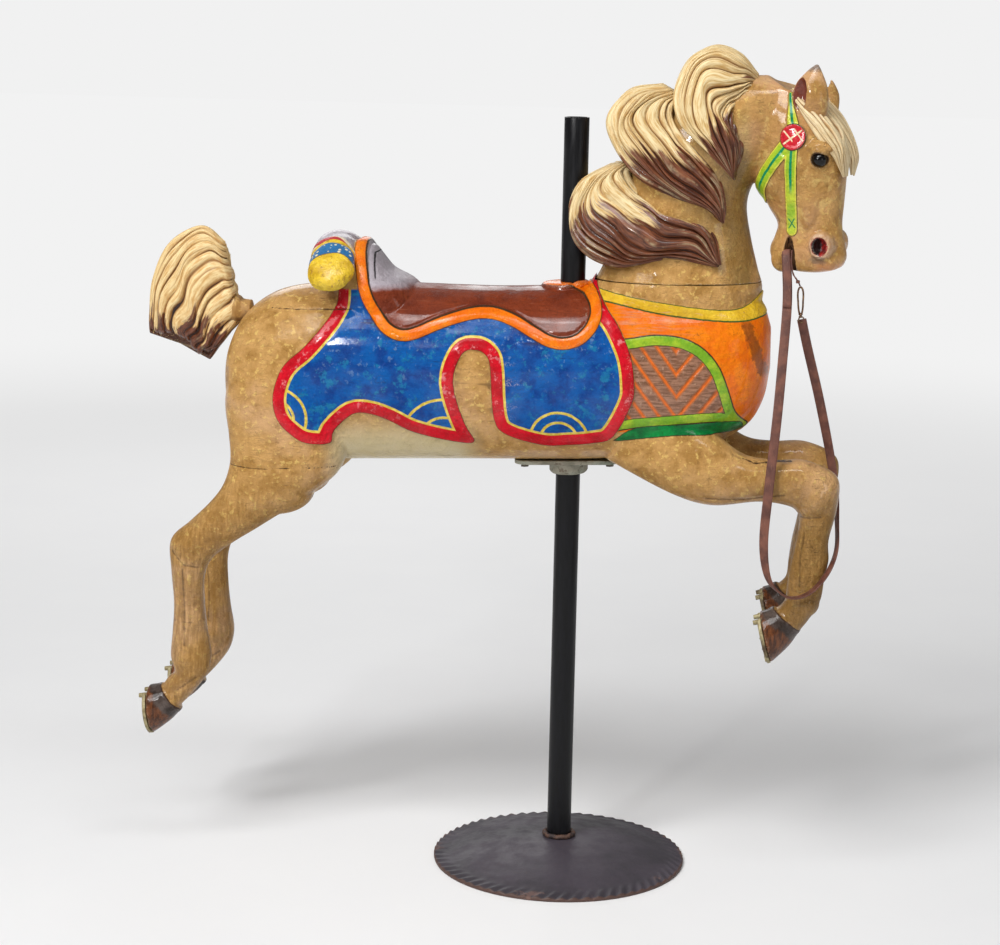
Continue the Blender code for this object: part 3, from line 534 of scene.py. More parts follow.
thong_line = smooth_rows(THONG_ROUTE, 12)
thong_radii = THONG_RADIUS * (1 + 0.16 * np.sin(np.linspace(0, 40, len(thong_line))))
thong = wire_piece(
    "hook_thong", thong_line, thong_radii, horse_frame, bridle_leather, ["hook_thong"]
)
turns = np.linspace(0, 2 * np.pi * KNOT_TURNS, 60)
knot_path = path_of(
    KNOT_MIDDLE[0] + KNOT_RADIUS * np.cos(turns),
    KNOT_MIDDLE[1] + KNOT_RADIUS * np.sin(turns),
    KNOT_MIDDLE[2] + KNOT_HEIGHT * (turns / turns[-1] - 0.5),
)
knot = wire_piece("thong_knot", knot_path, THIN_WIRE, horse_frame, bridle_leather)

# Carved body
# Barrel, neck and legs are basswood blocks glued up, carved and painted: tan hide, blue blanket with a
# red border, brown saddle edged in orange, and a breast collar. Everything on it is raised in the wood.
BODY_GRID = 0.0034
BODY_TRIANGLES = 176000
LOFT_PER = 6
FAR_AWAY = 9.0
OUTLINE_PER = 4
TRUNK = [
    ((-67.6, 19.5), (-67.6, 14.5), 3.5),
    ((-66.4, 24.0), (-66.8, 9.0), 8.2),
    ((-63.8, 28.8), (-65.2, 3.5), 11.0),
    ((-59.5, 32.4), (-60.5, 0.8), 13.0),
    ((-54.0, 34.4), (-54.5, 0.2), 13.8),
    ((-45.0, 35.0), (-45.0, 0.0), 14.0),
    ((-30.0, 34.2), (-30.0, 0.0), 13.9),
    ((-12.0, 33.4), (-12.0, 0.0), 14.3),
    ((4.0, 33.6), (4.0, 0.0), 14.5),
    ((16.0, 33.4), (17.0, 0.6), 14.1),
    ((26.0, 33.0), (28.0, 2.6), 12.9),
    ((33.5, 32.4), (35.0, 6.6), 10.6),
    ((38.0, 30.4), (38.2, 11.5), 7.2),
    ((39.8, 25.6), (39.6, 17.6), 3.4),
]
NECK = [
    ((36.0, 25.0), (3.0, 25.0), 10.0),
    ((38.2, 32.6), (5.0, 33.4), 10.3),
    ((37.4, 37.0), (7.4, 38.0), 9.3),
    ((36.1, 43.0), (9.6, 44.6), 8.4),
    ((35.4, 49.6), (12.0, 53.0), 7.8),
    ((37.4, 54.6), (15.0, 61.0), 7.5),
    ((42.0, 59.0), (22.0, 69.0), 7.2),
    ((47.0, 63.0), (32.0, 73.4), 6.6),
    ((49.0, 67.0), (39.5, 73.8), 5.2),
]
FORELEG = [
    ((17.0, 12.0), (8.0, 1.0), 4.5, 7.0),
    ((28.0, 7.0), (20.5, -5.4), 6.0, 8.4),
    ((34.4, 2.4), (28.5, -7.6), 5.6, 9.4),
    ((40.0, 1.3), (37.5, -6.8), 4.6, 9.9),
    ((46.5, 1.2), (43.2, -7.6), 4.3, 10.0),
    ((52.6, -2.0), (45.0, -9.0), 4.1, 10.0),
    ((52.6, -8.0), (45.3, -11.0), 3.6, 10.0),
    ((51.0, -14.4), (44.6, -14.8), 3.0, 10.0),
    ((51.0, -18.4), (43.7, -18.6), 2.9, 10.0),
    ((50.2, -22.0), (43.1, -22.4), 3.1, 10.0),
    ((49.4, -26.4), (42.6, -26.2), 3.1, 10.0),
    ((47.0, -30.4), (41.2, -27.8), 2.9, 10.0),
    ((44.9, -32.9), (40.6, -28.4), 3.0, 10.0),
]
FORE_HOOF = [
    ((45.6, -32.2), (40.4, -27.6), 3.2, 10.0),
    ((43.4, -35.4), (38.9, -28.4), 3.8, 10.0),
    ((39.9, -38.8), (37.7, -28.6), 4.5, 10.0),
]
HIND_LEG = [
    ((-42.0, 20.0), (-65.4, 20.0), 7.2, 6.6),
    ((-41.6, 12.0), (-67.0, 13.0), 7.7, 7.1),
    ((-42.5, 4.0), (-66.4, 6.0), 7.3, 7.7),
    ((-45.0, -1.8), (-66.2, 1.0), 6.6, 8.5),
    ((-52.0, -6.8), (-67.6, -3.6), 5.6, 9.4),
    ((-60.0, -11.8), (-70.4, -7.2), 4.7, 9.8),
    ((-66.4, -15.6), (-74.6, -11.0), 4.1, 10.0),
    ((-70.6, -18.8), (-78.6, -14.6), 3.7, 10.0),
    ((-72.3, -22.6), (-78.9, -20.4), 3.1, 10.0),
    ((-72.5, -28.0), (-78.7, -27.6), 2.7, 10.0),
    ((-72.2, -33.4), (-79.3, -33.6), 2.8, 10.0),
    ((-71.7, -38.4), (-79.9, -38.6), 3.2, 10.0),
    ((-72.8, -42.6), (-79.2, -41.8), 3.0, 10.0),
    ((-75.8, -46.4), (-80.6, -43.0), 2.8, 10.0),
    ((-78.8, -49.4), (-82.2, -45.4), 2.9, 10.0),
]
HIND_HOOF = [
    ((-78.2, -49.8), (-82.0, -44.6), 3.2, 10.0),
    ((-80.6, -52.2), (-83.8, -44.8), 3.9, 10.0),
    ((-84.2, -54.8), (-84.9, -45.0), 4.5, 10.0),
]
CANTLE = [
    ((-27.0, 26.0), (-46.5, 26.0), 10.6),
    ((-27.6, 31.0), (-46.0, 31.0), 10.6),
    ((-30.0, 34.6), (-45.0, 34.4), 10.4),
    ((-34.0, 36.9), (-44.0, 36.8), 9.2),
    ((-36.0, 39.3), (-43.2, 39.5), 7.6),
    ((-37.4, 41.5), (-42.6, 41.7), 5.4),
    ((-38.6, 42.9), (-41.8, 43.0), 3.0),
]
POLE_COLLAR = (4.2, 31.0, 34.3)
NECK_JOINT = (35.6, -0.03)
NECK_BEGINS = 0.2
BLANKET = [
    (-43.3, 46.0), (-43.3, 34.0), (-44.2, 30.6), (-45.9, 28.1), (-49.6, 24.0), (-53.1, 21.1), (-54.9, 18.2),
    (-55.9, 14.1), (-55.1, 10.1), (-52.6, 7.2), (-49.7, 5.4), (-45.2, 5.1), (-44.3, 7.6), (-40.4, 10.9),
    (-36.9, 10.9), (-33.4, 9.6), (-28.6, 7.1), (-20.7, 5.1), (-17.0, 5.2), (-18.6, 9.1), (-20.5, 17.1),
    (-18.7, 22.5), (-16.3, 23.3), (-14.3, 22.5), (-13.3, 20.0), (-12.9, 10.1), (-10.7, 6.7), (-3.8, 4.4),
    (1.0, 4.4), (6.0, 4.8), (9.9, 6.1), (13.8, 12.9), (14.3, 17.0), (13.6, 22.3), (11.2, 27.7), (8.6, 31.3),
    (6.5, 36.0), (6.5, 46.0),
]
SADDLE = [
    (-40.6, 52.0), (-40.6, 44.0), (-39.9, 39.0), (-38.8, 34.1), (-37.4, 30.8), (-35.2, 27.6), (-33.0, 25.8),
    (-30.4, 25.0), (-27.5, 25.4), (-22.3, 27.4), (-17.1, 28.8), (-13.2, 28.9), (-9.4, 27.7), (-5.6, 25.6),
    (-2.4, 23.9), (0.8, 23.3), (4.0, 24.0), (6.2, 25.7), (7.5, 27.6), (8.1, 29.9), (7.6, 32.4), (5.6, 35.0),
    (2.0, 38.0), (2.0, 52.0),
]
COLLAR_TOP = [(2.0, 35.4), (6.5, 34.2), (20.0, 31.6), (33.4, 30.0), (39.4, 33.7), (44.0, 36.0)]
COLLAR_FOOT = [(2.0, 32.6), (8.4, 31.9), (21.1, 29.3), (33.4, 27.9), (39.6, 28.6), (44.0, 29.0)]
PANEL = [
    (4.0, 25.0), (12.7, 25.3), (18.0, 25.9), (23.3, 25.3), (27.4, 23.2), (30.3, 19.7), (32.0, 15.2),
    (33.3, 10.6), (35.4, 7.7), (33.6, 6.6), (30.0, 8.7), (14.5, 8.0), (4.0, 7.6),
]
GIRTH = [
    (9.6, 5.2), (14.5, 8.1), (24.0, 8.6), (31.3, 8.8), (34.4, 8.2), (33.0, 6.3), (21.8, 6.4), (12.0, 5.3),
]
CHEVRON_MIDDLE = 22.2
CHEVRON_SLOPES = (1.45, 1.2)
CHEVRON_PITCH = 4.3
CHEVRON_START = 1.2
BLANKET_RINGS = [((-55.4, 10.2), (3.6, 6.0)), ((-22.6, 5.2), (5.0, 8.6)), ((-0.5, 5.6), (3.6, 5.6))]
CREASES = [
    [(27.6, -5.6), (35.0, -5.8), (42.7, -4.9)],
    [(40.2, -8.2), (44.6, -9.6), (49.4, -9.2)],
    [(46.4, -12.5), (45.6, -17.0), (45.4, -23.0)],
    [(-76.0, -20.5), (-76.0, -28.0), (-76.4, -36.0)],
    [(-78.0, -16.6), (-75.6, -19.4), (-72.9, -20.0)],
    [(-74.4, -42.6), (-78.6, -45.4)],
]
LEG_BONES = [
    ((48.6, 9.8, -6.0), (3.7, 4.9, 4.6)),
    ((31.0, 8.9, -2.6), (7.4, 5.6, 4.4)),
    ((46.6, 10.0, -26.8), (2.7, 3.5, 2.7)),
    ((-57.0, 8.7, -4.6), (7.6, 6.1, 5.2)),
    ((-74.6, 10.0, -15.6), (3.4, 4.1, 3.6)),
    ((-75.9, 10.0, -39.4), (3.6, 3.6, 3.0)),
]
CRACKS = [
    [(-65.8, 0.6), (-60.0, 0.3), (-52.0, 0.5), (-44.5, 0.2)],
    [(-56.7, 31.1), (-50.0, 30.9), (-39.3, 31.0)],
    [(34.2, 2.0), (37.0, 1.0), (44.0, 1.2)],
]


def skin_over(block, loops):
    """Faces between loops of vertices, and one over each end."""
    for low, high in zip(loops, loops[1:]):
        for i in range(len(low)):
            j = (i + 1) % len(low)
            block.faces.new((low[i], low[j], high[j], high[i]))
    block.faces.new(loops[0][::-1])
    block.faces.new(loops[-1])


def add_loft(body, stations, matrix, sides=32, power=2.2, side=1):
    """Oval rings through the stations, in steps. A place across is mirrored where side is -1."""
    rows = smooth_rows([(*s[0], *s[1], s[2], side * (s[3] if len(s) > 3 else 0)) for s in stations], LOFT_PER)
    turns = np.linspace(0, 2 * np.pi, sides, endpoint=False)
    along = signed_power(np.cos(turns), 2 / power)
    across = signed_power(np.sin(turns), 2 / power)
    loops = []
    for front_x, front_z, back_x, back_z, half, place in rows:
        middle = np.array([(front_x + back_x) / 2, place, (front_z + back_z) / 2])
        reach = np.array([(front_x - back_x) / 2, 0, (front_z - back_z) / 2])
        ring = middle + along[:, None] * reach + across[:, None] * np.array([0, max(half, 0.05), 0])
        loops.append([body.verts.new(p) for p in placed(matrix, ring)])
    skin_over(body, loops)


def add_ball(body, centre, radii, matrix, side=1):
    """A swelling of muscle or bone, as an ellipsoid melted into the form."""
    place = Matrix.Translation((centre[0], side * centre[1], centre[2]))
    size = Matrix.Diagonal((*radii, 1))
    bmesh.ops.create_uvsphere(body, u_segments=24, v_segments=16, radius=1, matrix=matrix @ place @ size)


def add_stub(block, sides, low, high, length, matrix):
    """A closed round or many-sided stub, with the radius at each end."""
    bmesh.ops.create_cone(
        block, cap_ends=True, segments=sides, radius1=low, radius2=high, depth=length, matrix=matrix
    )


def melted(name, body, grid, softened):
    """The lofts as one skin of even squares, softened as a carver blends them."""
    bmesh.ops.recalc_face_normals(body, faces=body.faces)
    mesh = bpy.data.meshes.new(name)
    body.to_mesh(mesh)
    body.free()
    return remeshed(mesh, name, grid, softened)


def remeshed(mesh, name, grid, softened, triangles=None):
    obj = bpy.data.objects.new(name, mesh)
    bpy.context.scene.collection.objects.link(obj)
    if grid:
        melt = obj.modifiers.new("Melt", "REMESH")
        melt.mode = "VOXEL"
        melt.voxel_size = grid
    if softened:
        soften = obj.modifiers.new("Soften", "SMOOTH")
        soften.factor = 0.5
        soften.iterations = softened
    if triangles:
        thin = obj.modifiers.new("Thin", "DECIMATE")
        thin.ratio = min(1.0, triangles / (2 * len(mesh.polygons)))
    bpy.context.view_layer.update()
    graph = bpy.context.evaluated_depsgraph_get()
    made = bpy.data.meshes.new_from_object(obj.evaluated_get(graph))
    bpy.data.objects.remove(obj)
    bpy.data.meshes.remove(mesh)
    return made


def mesh_points(mesh, label="co"):
    """Where each point of a mesh is, or the way it faces."""
    table = np.empty(len(mesh.vertices) * 3, np.float32)
    mesh.vertices.foreach_get(label, table)
    return table.reshape(-1, 3).astype(float)


def move_points(mesh, points):
    mesh.vertices.foreach_set("co", points.astype(np.float32).ravel())
    mesh.update()


def raise_relief(mesh, heights):
    """Moves the points out along the way they face, by heights in steps."""
    move_points(mesh, mesh_points(mesh) + mesh_points(mesh, "normal") * heights[:, None] * STEP)


def line_distance(spots, line):
    """Distance from flat points to a line through flat points."""
    best = np.full(len(spots), np.inf)
    for a, b in zip(np.asarray(line, float), np.asarray(line, float)[1:]):
        way = b - a
        share = np.clip(((spots - a) @ way) / (way @ way), 0, 1)
        best = np.minimum(best, np.hypot(*(spots - a - share[:, None] * way).T))
    return best


def outline_distance(spots, outline):
    """Distance from flat points to a smooth closed outline, below 0 inside it."""
    ring = smooth_rows([*outline, outline[0]], OUTLINE_PER)
    inside = np.zeros(len(spots), bool)
    for a, b in zip(ring, ring[1:]):
        spans = (a[1] > spots[:, 1]) != (b[1] > spots[:, 1])
        height = b[1] - a[1] if b[1] != a[1] else 1.0
        inside ^= spans & (spots[:, 0] < (b[0] - a[0]) * (spots[:, 1] - a[1]) / height + a[0])
    return np.where(inside, -1, 1) * line_distance(spots, ring)


def ease(value, low, high):
    """0 at low, 1 at high, smooth between, for rows of numbers."""
    share = np.clip((value - low) / (high - low), 0, 1)
    return share * share * (3 - 2 * share)


def hump(value, low, high):
    """A rounded rib between two values."""
    share = np.clip((value - low) / (high - low), 0, 1)
    return (4 * share * (1 - share)) ** 0.5


def furrow(distance, half):
    """A cut with soft edges, 1 in its middle."""
    return np.exp(-((distance / half) ** 2))


def hollows(mesh, rounds):
    """How far each point lies under the skin that is left when small forms are rubbed away, in steps."""
    points = mesh_points(mesh)
    edges = np.empty(len(mesh.edges) * 2, np.int32)
    mesh.edges.foreach_get("vertices", edges)
    a, b = edges.reshape(-1, 2).T
    count = np.bincount(a, minlength=len(points)) + np.bincount(b, minlength=len(points))
    rubbed = points.copy()
    for _ in range(rounds):
        total = [np.bincount(a, r[b], len(r)) + np.bincount(b, r[a], len(r)) for r in rubbed.T]
        rubbed = 0.5 * rubbed + 0.5 * np.stack(total, 1) / np.maximum(count, 1)[:, None]
    return ((rubbed - points) * mesh_points(mesh, "normal")).sum(1) / STEP


def hoof_frame(hoof, side):
    """A frame on the sole in the world: x towards the toe, z outwards from the sole, and its reach."""
    toe = horse_frame @ Vector((hoof[-1][0][0], side * hoof[-1][3], hoof[-1][0][1]))
    heel = horse_frame @ Vector((hoof[-1][1][0], side * hoof[-1][3], hoof[-1][1][1]))
    forward = (toe - heel).normalized()
    down = forward.cross(Vector((0, 1, 0))).normalized()
    coronet = horse_frame @ Vector(((hoof[0][0][0] + hoof[0][1][0]) / 2, side * hoof[0][3], hoof[0][0][1]))
    if down.dot((toe + heel) / 2 - coronet) < 0:
        down = -down
    turn = Matrix((forward, down.cross(forward), down)).transposed().to_4x4()
    return Matrix.Translation((toe + heel) / 2) @ turn, (toe - heel).length / 2


def flatten_soles(points):
    """Planes the hooves off where the shoes are fitted."""
    for hoof in (FORE_HOOF, HIND_HOOF):
        for side in (-1, 1):
            matrix, reach = hoof_frame(hoof, side)
            local = placed(matrix.inverted(), points)
            near = (local[:, 2] > 0) & (np.linalg.norm(local, axis=1) < reach * 1.4)
            local[near, 2] = 0
            points[near] = placed(matrix, local[near])
    return points


def body_fields(world):
    """Where each point lies in the painted design, in steps: below 0 is inside each outline."""
    spots = placed(horse_frame.inverted(), world)
    flat = spots[:, [0, 2]]
    near = spots[:, 1] < 0
    x, y, z = spots.T
    made = {
        "blanket": outline_distance(flat, BLANKET),
        "saddle": outline_distance(flat, SADDLE),
        "collar_top": z - np.interp(x, *smooth_rows(COLLAR_TOP, 8).T),
        "collar_foot": z - np.interp(x, *smooth_rows(COLLAR_FOOT, 8).T),
        "panel": outline_distance(flat, PANEL),
        "girth": outline_distance(flat, GIRTH),
        "crack": np.where(near, np.min([line_distance(flat, line) for line in CRACKS], 0), FAR_AWAY),
        "crease": np.min([line_distance(flat, line) for line in CREASES], 0),
        "pole_ring": np.hypot(x, y) - POLE_COLLAR[0] + np.where(z > 32.0, 0, FAR_AWAY),
        "across": y,
        "lengthways": x,
        "height": z,
    }
    hoof = np.full(len(x), FAR_AWAY)
    for shape in (FORE_HOOF, HIND_HOOF):
        front, back = np.array(shape[0][0], float), np.array(shape[0][1], float)
        sole = (np.array(shape[-1][0], float) + np.array(shape[-1][1], float)) / 2
        square = np.array([back[1] - front[1], front[0] - back[0]]) / np.linalg.norm(front - back)
        square = square * np.sign((sole - front) @ square)
        close = np.hypot(x - sole[0], z - sole[1]) < FAR_AWAY
        hoof[close] = -((flat[close] - front) @ square)
    made["hoof"] = hoof
    return made


def body_relief(made):
    """Height of the carving over the plain body, in steps."""
    blanket, saddle = made["blanket"], made["saddle"]
    breast = (made["lengthways"] > 6.0) & (made["blanket"] > 0) & (made["saddle"] > 0)
    height = 0.30 * ease(-blanket, -0.15, 0.15)
    height += 0.16 * hump(blanket, -2.3, 0.0) - 0.07 * furrow(blanket + 2.5, 0.18)
    height += 0.25 * ease(-saddle, -0.1, 0.2)
    height += 0.3 * hump(saddle, -2.2, 0.0) - 0.18 * furrow(saddle + 2.3, 0.22)
    collar = np.minimum(made["collar_top"], 0) * -1
    band = breast * ease(made["collar_foot"], -0.1, 0.15) * ease(-made["collar_top"], -0.1, 0.15)
    height += (0.26 + 0.08 * hump(collar, 0.0, 2.6)) * band
    below = breast * (made["collar_foot"] < 0) * (made["height"] > 6.0)
    height += 0.10 * below * ease(made["panel"], -0.1, 0.2)
    height += 0.30 * breast * hump(made["panel"], -2.1, 0.0) * (made["height"] > 7.5)
    height += 0.16 * breast * hump(made["girth"], -2.4, 0.0)
    inside = breast * ease(-made["panel"], 2.0, 2.3) * (made["across"] < 0)
    aside = made["lengthways"] - CHEVRON_MIDDLE
    slope = np.maximum(-aside * CHEVRON_SLOPES[0], aside * CHEVRON_SLOPES[1])
    phase = (made["height"] - slope - CHEVRON_START) / CHEVRON_PITCH
    groove = np.abs(phase - np.round(phase)) * CHEVRON_PITCH / 1.6
    height -= 0.34 * inside * np.clip(1 - groove / 0.42, 0, 1)
    height -= 0.14 * furrow(made["crack"], 0.18)
    height -= 0.22 * furrow(made["crease"], 0.45) * (made["height"] < 0)
    height += 0.10 * hump(made["hoof"], -0.9, 0.1)
    return height


body = bmesh.new()
add_loft(body, TRUNK, horse_frame, sides=56, power=2.35)
add_loft(body, NECK, horse_frame, sides=48, power=2.1)
for flank in (-1, 1):
    add_loft(body, FORELEG, horse_frame, side=flank)
    add_loft(body, FORE_HOOF, horse_frame, side=flank, power=2.0)
    add_loft(body, HIND_LEG, horse_frame, side=flank)
    add_loft(body, HIND_HOOF, horse_frame, side=flank, power=2.0)
    for place, radii in LEG_BONES:
        add_ball(body, place, radii, horse_frame, flank)
add_loft(body, CANTLE, horse_frame, sides=40, power=2.6)
ring_radius, ring_foot, ring_top = POLE_COLLAR
ring_middle = horse_frame @ Matrix.Translation((0, 0, (ring_top + ring_foot) / 2))
add_stub(body, 64, ring_radius, ring_radius, ring_top - ring_foot, ring_middle)
body_mesh = melted("carved_body", body, BODY_GRID, 5)


def keep_side(mesh, height, slope, below):
    """Saws the neck at its glue joint and closes the cut. Below it, what stands behind the neck stays."""
    point = horse_frame @ Vector((0, 0, height))
    normal = (horse_frame.to_3x3() @ Vector((-slope, 0, 1))).normalized()
    block = bmesh.new()
    block.from_mesh(mesh)
    points = {v for v in block.verts if not below or v.co.x > NECK_BEGINS}
    edges = [e for e in block.edges if points.issuperset(e.verts)]
    geometry = [*points, *edges, *[f for f in block.faces if points.issuperset(f.verts)]]
    cut = bmesh.ops.bisect_plane(
        block, geom=geometry, plane_co=point, plane_no=normal, clear_outer=below, clear_inner=not below
    )
    rim = [e for e in cut["geom_cut"] if isinstance(e, bmesh.types.BMEdge)]
    bmesh.ops.holes_fill(block, edges=rim)
    block.to_mesh(mesh)
    block.free()


move_points(body_mesh, flatten_soles(mesh_points(body_mesh)))
raise_relief(body_mesh, body_relief(body_fields(mesh_points(body_mesh))))
keep_side(body_mesh, *NECK_JOINT, True)
body_mesh = remeshed(body_mesh, "carved_body", None, 0, BODY_TRIANGLES)
body_values = body_fields(mesh_points(body_mesh))
body_values["hollow"] = hollows(body_mesh, 10)
write_fields(body_mesh, body_values)


def aged(where):
    """Signals that every old coat of paint on the carving shares: mottling, wear, crazing and dust."""
    made = {
        "broad": noise(where, 7.0, 4.0, 0.6),
        "mottle": noise(where, 26.0, 5.0, 0.62),
        "fine": noise(where, 95.0, 4.0, 0.6),
        "grit": noise(where, 420.0, 3.0, 0.6),
        "streak": noise(stretched(where, (3.0, 26.0, 40.0)), 7.0, 4.0, 0.6),
        "upright": noise(stretched(where, (34.0, 34.0, 5.0)), 5.0, 4.0, 0.6),
    }
    bent = where.node("ShaderNodeMix", {"data_type": "VECTOR"}, {0: 0.03, 4: where, 5: noise(where, 30.0)}, 1)
    crazed = cell_edges(bent, 70.0)
    splits = noise(stretched(where, (2.2, 10.0, 60.0)), 5.0, 2.0, 0.5)
    made["hairline"] = rise(abs(splits - 0.5), 0.0035, 0.001) * rise(made["mottle"], 0.52, 0.6)
    made["crazing"] = rise(crazed, 0.03, 0.0) * rise(made["mottle"], 0.56, 0.66) * 0.6
    return made


def varnished(material, colour, age, rough, coats, patches):
    """Old paint under patchy varnish, with its brush marks, crazing and hairlines in relief."""
    relief = age["fine"] * 1.5 + age["grit"] * 0.4 + age["mottle"] * 1.8
    coated(
        material,
        {
            "Base Color": colour,
            "Roughness": rough + 0.26 * rise(age["mottle"], 0.35, 0.7),
            "Coat Weight": coats[0] + coats[1] * rise(age["broad"], *patches),
            "Coat Roughness": 0.1,
            "Specular IOR Level": 0.1,
        },
        relief - age["crazing"] * 0.4 - age["hairline"] * 0.6,
        0.0038,
        0.85,
    )


def hide_paint(where, age):
    """Tan hide: cream and ochre glazes over each other, pinkish in places, with dark specks."""
    tan = blend(age["mottle"], 0.34, 0.66, (160, 118, 60), (196, 152, 92))
    tan = layered(
        tan,
        (rise(age["broad"], 0.5, 0.68) * 0.45, paint(210, 166, 124)),
        (rise(age["fine"], 0.56, 0.66) * 0.6, paint(220, 186, 108)),
        (rise(age["upright"], 0.58, 0.72) * 0.45, paint(146, 106, 52)),
        (rise(age["fine"], 0.42, 0.34) * rise(age["mottle"], 0.5, 0.4) * 0.5, paint(128, 92, 46)),
    )
    return over(tan, rise(age["grit"], 0.68, 0.76) * 0.6, paint(88, 60, 34))


def dusted(colour, age, hollow):
    """Old dirt and darkened varnish in the hollows, and paint rubbed pale on the ridges."""
    colour = layered(
        colour,
        (rise(hollow + (age["fine"] - 0.5) * 0.06, 0.1, 0.36) * 0.5, paint(66, 44, 24)),
        (age["hairline"] * 0.7, paint(60, 40, 24)),
        (rise(hollow, -0.06, -0.22) * rise(age["grit"], 0.5, 0.62) * 0.35, paint(226, 206, 176)),
    )
    return over(colour, age["crazing"] * 0.6, paint(70, 48, 30))


painted_wood, where = new_finish("painted_wood")
age = aged(where)
shake = (age["fine"] - 0.5) * 0.22
blanket = field(where, "blanket") + shake * 0.5
saddle = field(where, "saddle") + shake * 0.5
panel = field(where, "panel") + shake * 0.5
collar_top = field(where, "collar_top") + shake
collar_foot = field(where, "collar_foot") + shake
girth = field(where, "girth") + shake
lengthways = field(where, "lengthways")
height = field(where, "height")
hollow = field(where, "hollow")
hoof = field(where, "hoof") + shake * 2.0

colour = hide_paint(where, age)
lower = rise(height + (age["broad"] - 0.5) * 14.0, 4.0, -14.0)
colour = over(colour, lower * rise(age["upright"], 0.3, 0.6) * 0.6, paint(128, 92, 44))
colour = over(colour, lower * rise(lengthways, 20.0, 46.0) * 0.5, paint(112, 82, 38))
# Painted shade: a dark line along the carved creases of the legs.
crease = field(where, "crease")
crease_shade = rise(crease + (age["fine"] - 0.5) * 0.3, 0.3, 0.05) * rise(height, 0.5, -0.5)
colour = over(colour, crease_shade * 0.6, paint(76, 52, 26))
belly = rise(height, 12.0, 4.0) * rise(lengthways, -14.0, -22.0) * rise(lengthways, -48.0, -42.0)
colour = over(colour, belly * 0.85, mix(age["mottle"], paint(214, 200, 160), paint(190, 176, 132)))

orange = blend(age["mottle"], 0.4, 0.66, (222, 102, 0), (236, 126, 4))
rosy = rise(height, 20.0, 29.0) * rise(lengthways, 32.0, 16.0) * rise(lengthways, 9.0, 13.0)
orange = over(orange, rosy * rise(age["streak"], 0.44, 0.62) * 0.7, paint(206, 130, 92))
orange = over(orange, rise(age["broad"], 0.6, 0.76) * 0.4, paint(190, 84, 10))
# A painted shadow of the rein: a dark brown band slanting down the orange of the breast.
rein_shadow = abs((lengthways - 35.4) - (27.4 - height) * 0.33 + (age["fine"] - 0.5) * 2.4)
rein_shadow = rise(rein_shadow, 1.3, 0.7) * rise(height, 16.0, 18.0) * rise(height, 28.6, 27.0)
orange = over(orange, rein_shadow * rise(lengthways, 33.0, 34.0) * 0.75, paint(120, 62, 16))
yellow = blend(age["mottle"], 0.4, 0.6, (206, 164, 34), (228, 190, 52))
yellow = over(yellow, rise(age["streak"], 0.6, 0.7) * 0.6, paint(214, 170, 130))
lime = blend(age["mottle"], 0.42, 0.62, (112, 160, 34), (158, 186, 44))
green = blend(age["mottle"], 0.42, 0.62, (0, 96, 44), (8, 128, 58))
brown = blend(age["streak"], 0.4, 0.62, (118, 80, 58), (158, 116, 92))
brown = over(brown, rise(age["fine"], 0.6, 0.72) * 0.7, paint(186, 148, 122))
outline_dark = paint(52, 40, 24)

breast = rise(blanket, 0.0, 0.12) * rise(saddle, 0.0, 0.12) * rise(lengthways, 5.6, 6.2)
orange_zone = breast * rise(collar_foot, 0.0, -0.12) * rise(height, 7.0, 7.3)
colour = layered(
    colour,
    (orange_zone, orange),
    (breast * rise(panel, 0.12, 0.0) * rise(height, 6.4, 6.6), outline_dark),
    (breast * rise(panel, -0.12, -0.24) * rise(height, 6.4, 6.6), lime),
    (breast * rise(panel, -1.8, -1.95), outline_dark),
    (breast * rise(panel, -1.95, -2.1), brown),
)
aside = lengthways - CHEVRON_MIDDLE
slope = either(aside * -CHEVRON_SLOPES[0], aside * CHEVRON_SLOPES[1])
phase = (height - slope - CHEVRON_START + (age["fine"] - 0.5) * 0.3) / CHEVRON_PITCH
groove = abs(phase - phase.math("ROUND", phase)) * (CHEVRON_PITCH / 1.6)
near_side = rise(field(where, "across"), 0.0, -1.0)
scored = breast * rise(panel, -1.95, -2.1) * near_side
colour = layered(
    colour,
    (scored * rise(groove, 0.62, 0.4) * 0.7, paint(176, 100, 50)),
    (scored * rise(groove, 0.3, 0.16), paint(218, 106, 36)),
    (breast * rise(girth, 0.05, -0.05), outline_dark),
    (breast * rise(girth, -0.1, -0.2), green),
)
band = breast * rise(collar_foot, -0.28, -0.16) * rise(collar_top, 0.1, 0.0)
colour = over(colour, band, paint(58, 84, 34))
colour = over(colour, breast * rise(collar_foot, 0.02, 0.14) * rise(collar_top, -0.04, -0.16), yellow)

blue = blend(age["mottle"], 0.34, 0.62, (0, 54, 126), (0, 84, 158))
blue = over(blue, rise(noise(where, 40.0, 5.0, 0.7), 0.54, 0.64) * 0.7, paint(22, 118, 154))
blue = over(blue, rise(age["fine"], 0.58, 0.7) * rise(height, 10.0, 26.0) * 0.6, paint(112, 140, 170))
red = blend(age["mottle"], 0.4, 0.6, (176, 0, 20), (204, 8, 32))
scuffed = rise(noise(where, 60.0, 5.0, 0.7), 0.56, 0.66) * rise(height, 6.0, 16.0)
red = over(red, scuffed * 0.65, paint(222, 140, 142))
gold = blend(age["fine"], 0.4, 0.6, (204, 176, 62), (224, 200, 96))
under_roll = rise(height, 34.6, 35.0) * rise(lengthways, -39.0, -39.4)
cloth = rise(blanket, 0.06, -0.06) * (1 - under_roll)
colour = layered(
    colour,
    (cloth, outline_dark),
    (rise(blanket, -0.04, -0.16) * (1 - under_roll), red),
    (rise(blanket, -2.25, -2.35) * (1 - under_roll), gold),
    (rise(blanket, -2.72, -2.82) * (1 - under_roll), blue),
)
